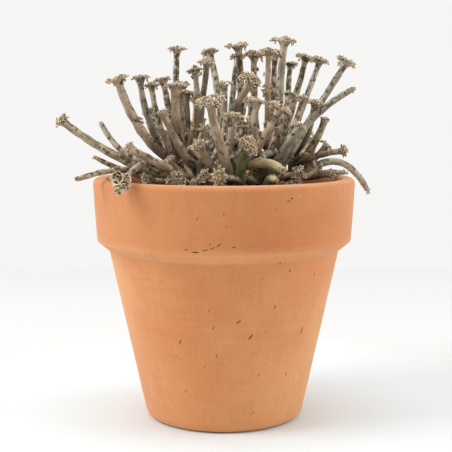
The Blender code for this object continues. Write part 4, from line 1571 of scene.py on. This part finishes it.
@dataclass
class PottingMix:
    """The potting mix: a crumbly surface over its solid, with grit and crumbs on it.

    mound is how much higher its middle is than its edge, and stony_share the stones' share of
    the grains.  base_radii and base_heights close it below: the heights are under the edge and
    over the bottom.
    """

    sides: int = 220
    rows: int = 90
    mound: float = 0.0025
    base_radii: tuple[float, float] = (0.0400, 0.0395)
    base_heights: tuple[float, float] = (0.010, 0.009)
    grains: int = 2200
    grain_sizes: Span = (0.0004, 0.0013)
    stony_share: float = 0.14
    fallen: int = 46
    fallen_sizes: Span = (0.0013, 0.0026)

    def __post_init__(self) -> None:
        """Read the mix's sizes from its box."""
        low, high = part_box("potting_mix")
        self.low, self.top, self.radius = low[2], high[2], high[0]
        self.edge = self.top - self.mound

    def level(self, r: np.ndarray) -> np.ndarray:
        """Height of the mix at distance r from the axis: a low mound."""
        return self.edge + (self.top - self.edge) * (1 - (r / self.radius) ** 2)

    def build(self, material: bpy.types.Material) -> None:
        """Build the mix's skin and scatter grit on it."""
        rng = np.random.default_rng(21)
        flat = self.radius * np.linspace(0.0, 1.0, self.rows)[1:]
        under, over = self.base_heights
        r = np.concatenate([flat, [self.radius - 0.0005, *self.base_radii]])
        z = np.concatenate([self.level(flat), [self.edge - under, self.low + over, self.low]])
        angle, radius = np.meshgrid(around(self.sides), r)
        points = turned(radius, angle, np.repeat(z[:, None], self.sides, axis=1))
        x, y = points[..., 0], points[..., 1]
        rough = 0.0007 * ripple(rng, (x, 900.0), (y, 900.0), terms=12)
        rough = rough + 0.0005 * ripple(rng, (x, 2500.0), (y, 2500.0), terms=12)
        points[: len(flat) - 1, :, 2] += rough[: len(flat) - 1]
        kind = np.zeros(points.shape)
        kind[..., 1] = 0.5
        surface = joined([Grid(points[::-1], {"grit_kind": kind})])
        piece = make_piece("mix_surface", surface, material, sharp=80)
        settle(piece, "potting_mix", "potting_mix")
        self.scatter_grit(material, rng)

    def spots(
        self, count: int, margin: float, inner: float, rng: np.random.Generator
    ) -> tuple[np.ndarray, np.ndarray]:
        """Return the radii and angles of count spots, spread evenly over the mix's area."""
        r = (self.radius - margin) * np.sqrt(rng.uniform(inner, 1, count))
        return r, rng.uniform(0, 2 * math.pi, count)

    def scatter_grit(self, material: bpy.types.Material, rng: np.random.Generator) -> None:
        """Scatter crumbs and stones: small lumps, each a six-sided ball pulled about."""
        count = self.grains
        r, turn = self.spots(count, 0.0015, 0, rng)
        size = rng.uniform(*self.grain_sizes, count)
        place = turned(r, turn, self.level(r) + size * 0.3)
        phi = np.array([0.25, 0.5, 0.75])[:, None] * math.pi
        theta = around(6)
        ring = turned(np.sin(phi), theta, np.cos(phi) + 0 * theta)
        ball = np.concatenate([ring.reshape(-1, 3), [UP], [-UP]])
        quads = grid_faces(3, 6, False)[:, ::-1]
        triangles = np.concatenate([fan_faces(18, 0, 6, True), fan_faces(19, 12, 6, False)])
        lumps = ball[None] * rng.uniform(0.65, 1.35, (count, len(ball), 1)) * size[:, None, None]
        lumps = lumps * rng.uniform(0.7, 1.3, (count, 1, 3)) + place[:, None]
        chosen = rng.uniform(0, 1, count) > 1 - self.stony_share
        stony = chosen * rng.uniform(0.2, 0.6, count)
        shade = rng.uniform(0, 1, count)
        kind = np.stack([stony, shade, 0 * shade], -1)[:, None].repeat(len(ball), axis=1)
        faces = repeated([quads, triangles], count, len(ball))
        grit = lumps.reshape(-1, 3), faces, {"grit_kind": kind.reshape(-1, 3)}
        settle(make_piece("mix_grit", grit, material, sharp=50), "potting_mix")

    def scatter_fallen(self, rosettes: RosetteMaker, material: bpy.types.Material) -> None:
        """Drop loose plantlets on the mix, some of them fresh and rooting."""
        rng = np.random.default_rng(33)
        r, turn = self.spots(self.fallen, 0.003, 0.05, rng)
        places = turned(r, turn, self.level(r) + 0.0009)
        axes = rng.normal(0, 0.35, places.shape) + UP
        sizes = rng.uniform(*self.fallen_sizes, self.fallen)
        dryness = rng.uniform(-1.0, 1.0, self.fallen)
        plantlets = rosettes.scatter(places, axes, sizes, dryness, rng)
        settle(make_piece("plantlets_fallen", plantlets, material), Tone.ROSY.value)


# ---------------------------------------------------------------- studio


@dataclass(frozen=True)
class Lamp:
    """A square soft light: its place, the place it is turned to, its width and its power."""

    name: str
    place: Place
    target: Place
    size: float
    power: float

    def hang(self) -> None:
        """Put the light into the scene."""
        lamp = bpy.data.lights.new(self.name, "AREA")
        lamp.size = self.size
        lamp.energy = self.power
        holder = bpy.data.objects.new(self.name, lamp)
        x, y, z = np.array(self.place) - np.array(self.target)
        holder.location = self.place
        tilt, turn = math.atan2(math.hypot(x, y), z), math.atan2(y, x) + math.pi / 2
        holder.rotation_euler = tilt, 0.0, turn
        bpy.context.scene.collection.objects.link(holder)


@dataclass(frozen=True)
class Studio:
    """A pale table, soft lights and the camera.

    The table is painted lighter and bluer where the squared distance from its middle is under
    middle_near, fading to table_top past middle_far: painted light that evens out the pot's
    shadow and the warm light it throws on the table.  room lights the set; wall is what the camera
    sees of it.
    """

    camera_place: Place = (0.0011, -0.607, 0.177)
    camera_pitch: float = 0.1105
    lens: float = 84.2
    sensor: float = 36.0
    table_half: float = 0.55
    room: Colour = (0.98, 0.97, 0.95)
    wall: Colour = (0.922, 0.918, 0.904)
    table_top: Colour = (0.755, 0.757, 0.755)
    # Painted light: the lighter, bluer table colour near the pot, against its shadow and warm
    # bounce.
    table_painted_light: Colour = (0.795, 0.865, 0.890)
    middle_near: float = 0.008
    middle_far: float = 0.050
    lamps: tuple[Lamp, ...] = (
        Lamp("key", (-1.05, -0.35, 1.1), (0, 0, 0.08), 0.7, 9.8),
        Lamp("fill", (1.2, -0.10, 0.70), (0, 0, 0.08), 1.0, 6.6),
        Lamp("top", (0.0, -0.1, 1.5), (0, 0, 0.05), 1.1, 6.5),
    )

    def build(self) -> None:
        """Set the table, the lights, the surroundings and the camera."""
        scene = bpy.context.scene
        scene.view_settings.view_transform = "Standard"
        camera = bpy.data.cameras.new("camera")
        camera.lens = self.lens
        camera.sensor_width = self.sensor
        viewer = bpy.data.objects.new("camera", camera)
        viewer.location = self.camera_place
        viewer.rotation_euler = (math.pi / 2 - self.camera_pitch, 0.0, 0.0)
        scene.collection.objects.link(viewer)
        scene.camera = viewer
        self.table()
        for lamp in self.lamps:
            lamp.hang()
        self.surroundings()

    def surroundings(self) -> None:
        """Surround the set with a room: dim towards the viewer, bright at the sides and behind.

        The camera itself sees an even pale wall.
        """
        world = bpy.data.worlds.new("surroundings")
        world.use_nodes = True
        s = Shader(world.node_tree)
        x, y, z = s.split(s.add("ShaderNodeTexCoord", {}, {}, "Generated"))
        level = 0.37 + (x * x) * 0.66 + y.between(-0.3, 0.9) * 0.42 + z.between(-0.1, 1.0) * 0.08
        level = level - x * 0.16
        seen = s.add("ShaderNodeLightPath", {}, {}, "Is Camera Ray")
        background = s.tree.nodes["Background"]
        s.feed(background.inputs["Color"], s.coats(self.room, (seen, self.wall)))
        s.feed(background.inputs["Strength"], level * (1 - seen) + seen)
        bpy.context.scene.world = world

    def table(self) -> None:
        """Lay the table's flat top."""
        corners = np.array([[-1.0, -1.0, 0], [1.0, -1.0, 0], [1.0, 1.0, 0], [-1.0, 1.0, 0]])
        s = Surface("table")
        x, y, _ = s.split(s.object_coordinates())
        # Painted light near the pot: how much of the lighter, bluer colour the table takes.
        middle = (x * x + y * y).between(self.middle_far, self.middle_near)
        grain = s.noise(s.object_coordinates(), 900.0, 3.0, 0.6)
        material = s.finish(
            Base_Color=s.coats(self.table_top, (middle, self.table_painted_light)),
            Roughness=0.7,
            Specular_IOR_Level=0.2,
            Normal=s.bump(grain, 0.0004, 0.3),
        )
        top = corners * self.table_half, [np.array([[0, 1, 2, 3]])], {}
        make_piece("table", top, material)


# ---------------------------------------------------------------- the whole


def main() -> None:
    """Build the studio and every piece, in the order of the real thing's making."""
    logging.basicConfig(level=logging.INFO, format="%(message)s")
    Studio().build()
    pot = Pot()
    pot.build(TerracottaFinish())
    tones = {tone: finish.material(tone.value) for tone, finish in LEAF_FINISHES.items()}
    plantlet = PlantletFinish().material()
    young = LeafMaker(sides=14, rows=26)
    kit = Kit(LeafMaker(), young, RosetteMaker(), tones, plantlet, BarkFinish().material())
    mix = PottingMix()
    mix.build(MixFinish().material())
    mix.scatter_fallen(kit.rosettes, plantlet)
    names = [node.removeprefix("stem_") for node in frame["nodes"] if node.startswith("stem_")]
    stems = [Stem(name) for name in sorted(names)]
    for stem in stems:
        stem.build(kit)
    Undergrowth(stems, kit, mix.top, pot.rim_radius).build()
    LOG.info("%d stems, %d leaves with solids", len(stems), sum(len(s.blades) for s in stems))


if __name__ == "__main__":
    main()
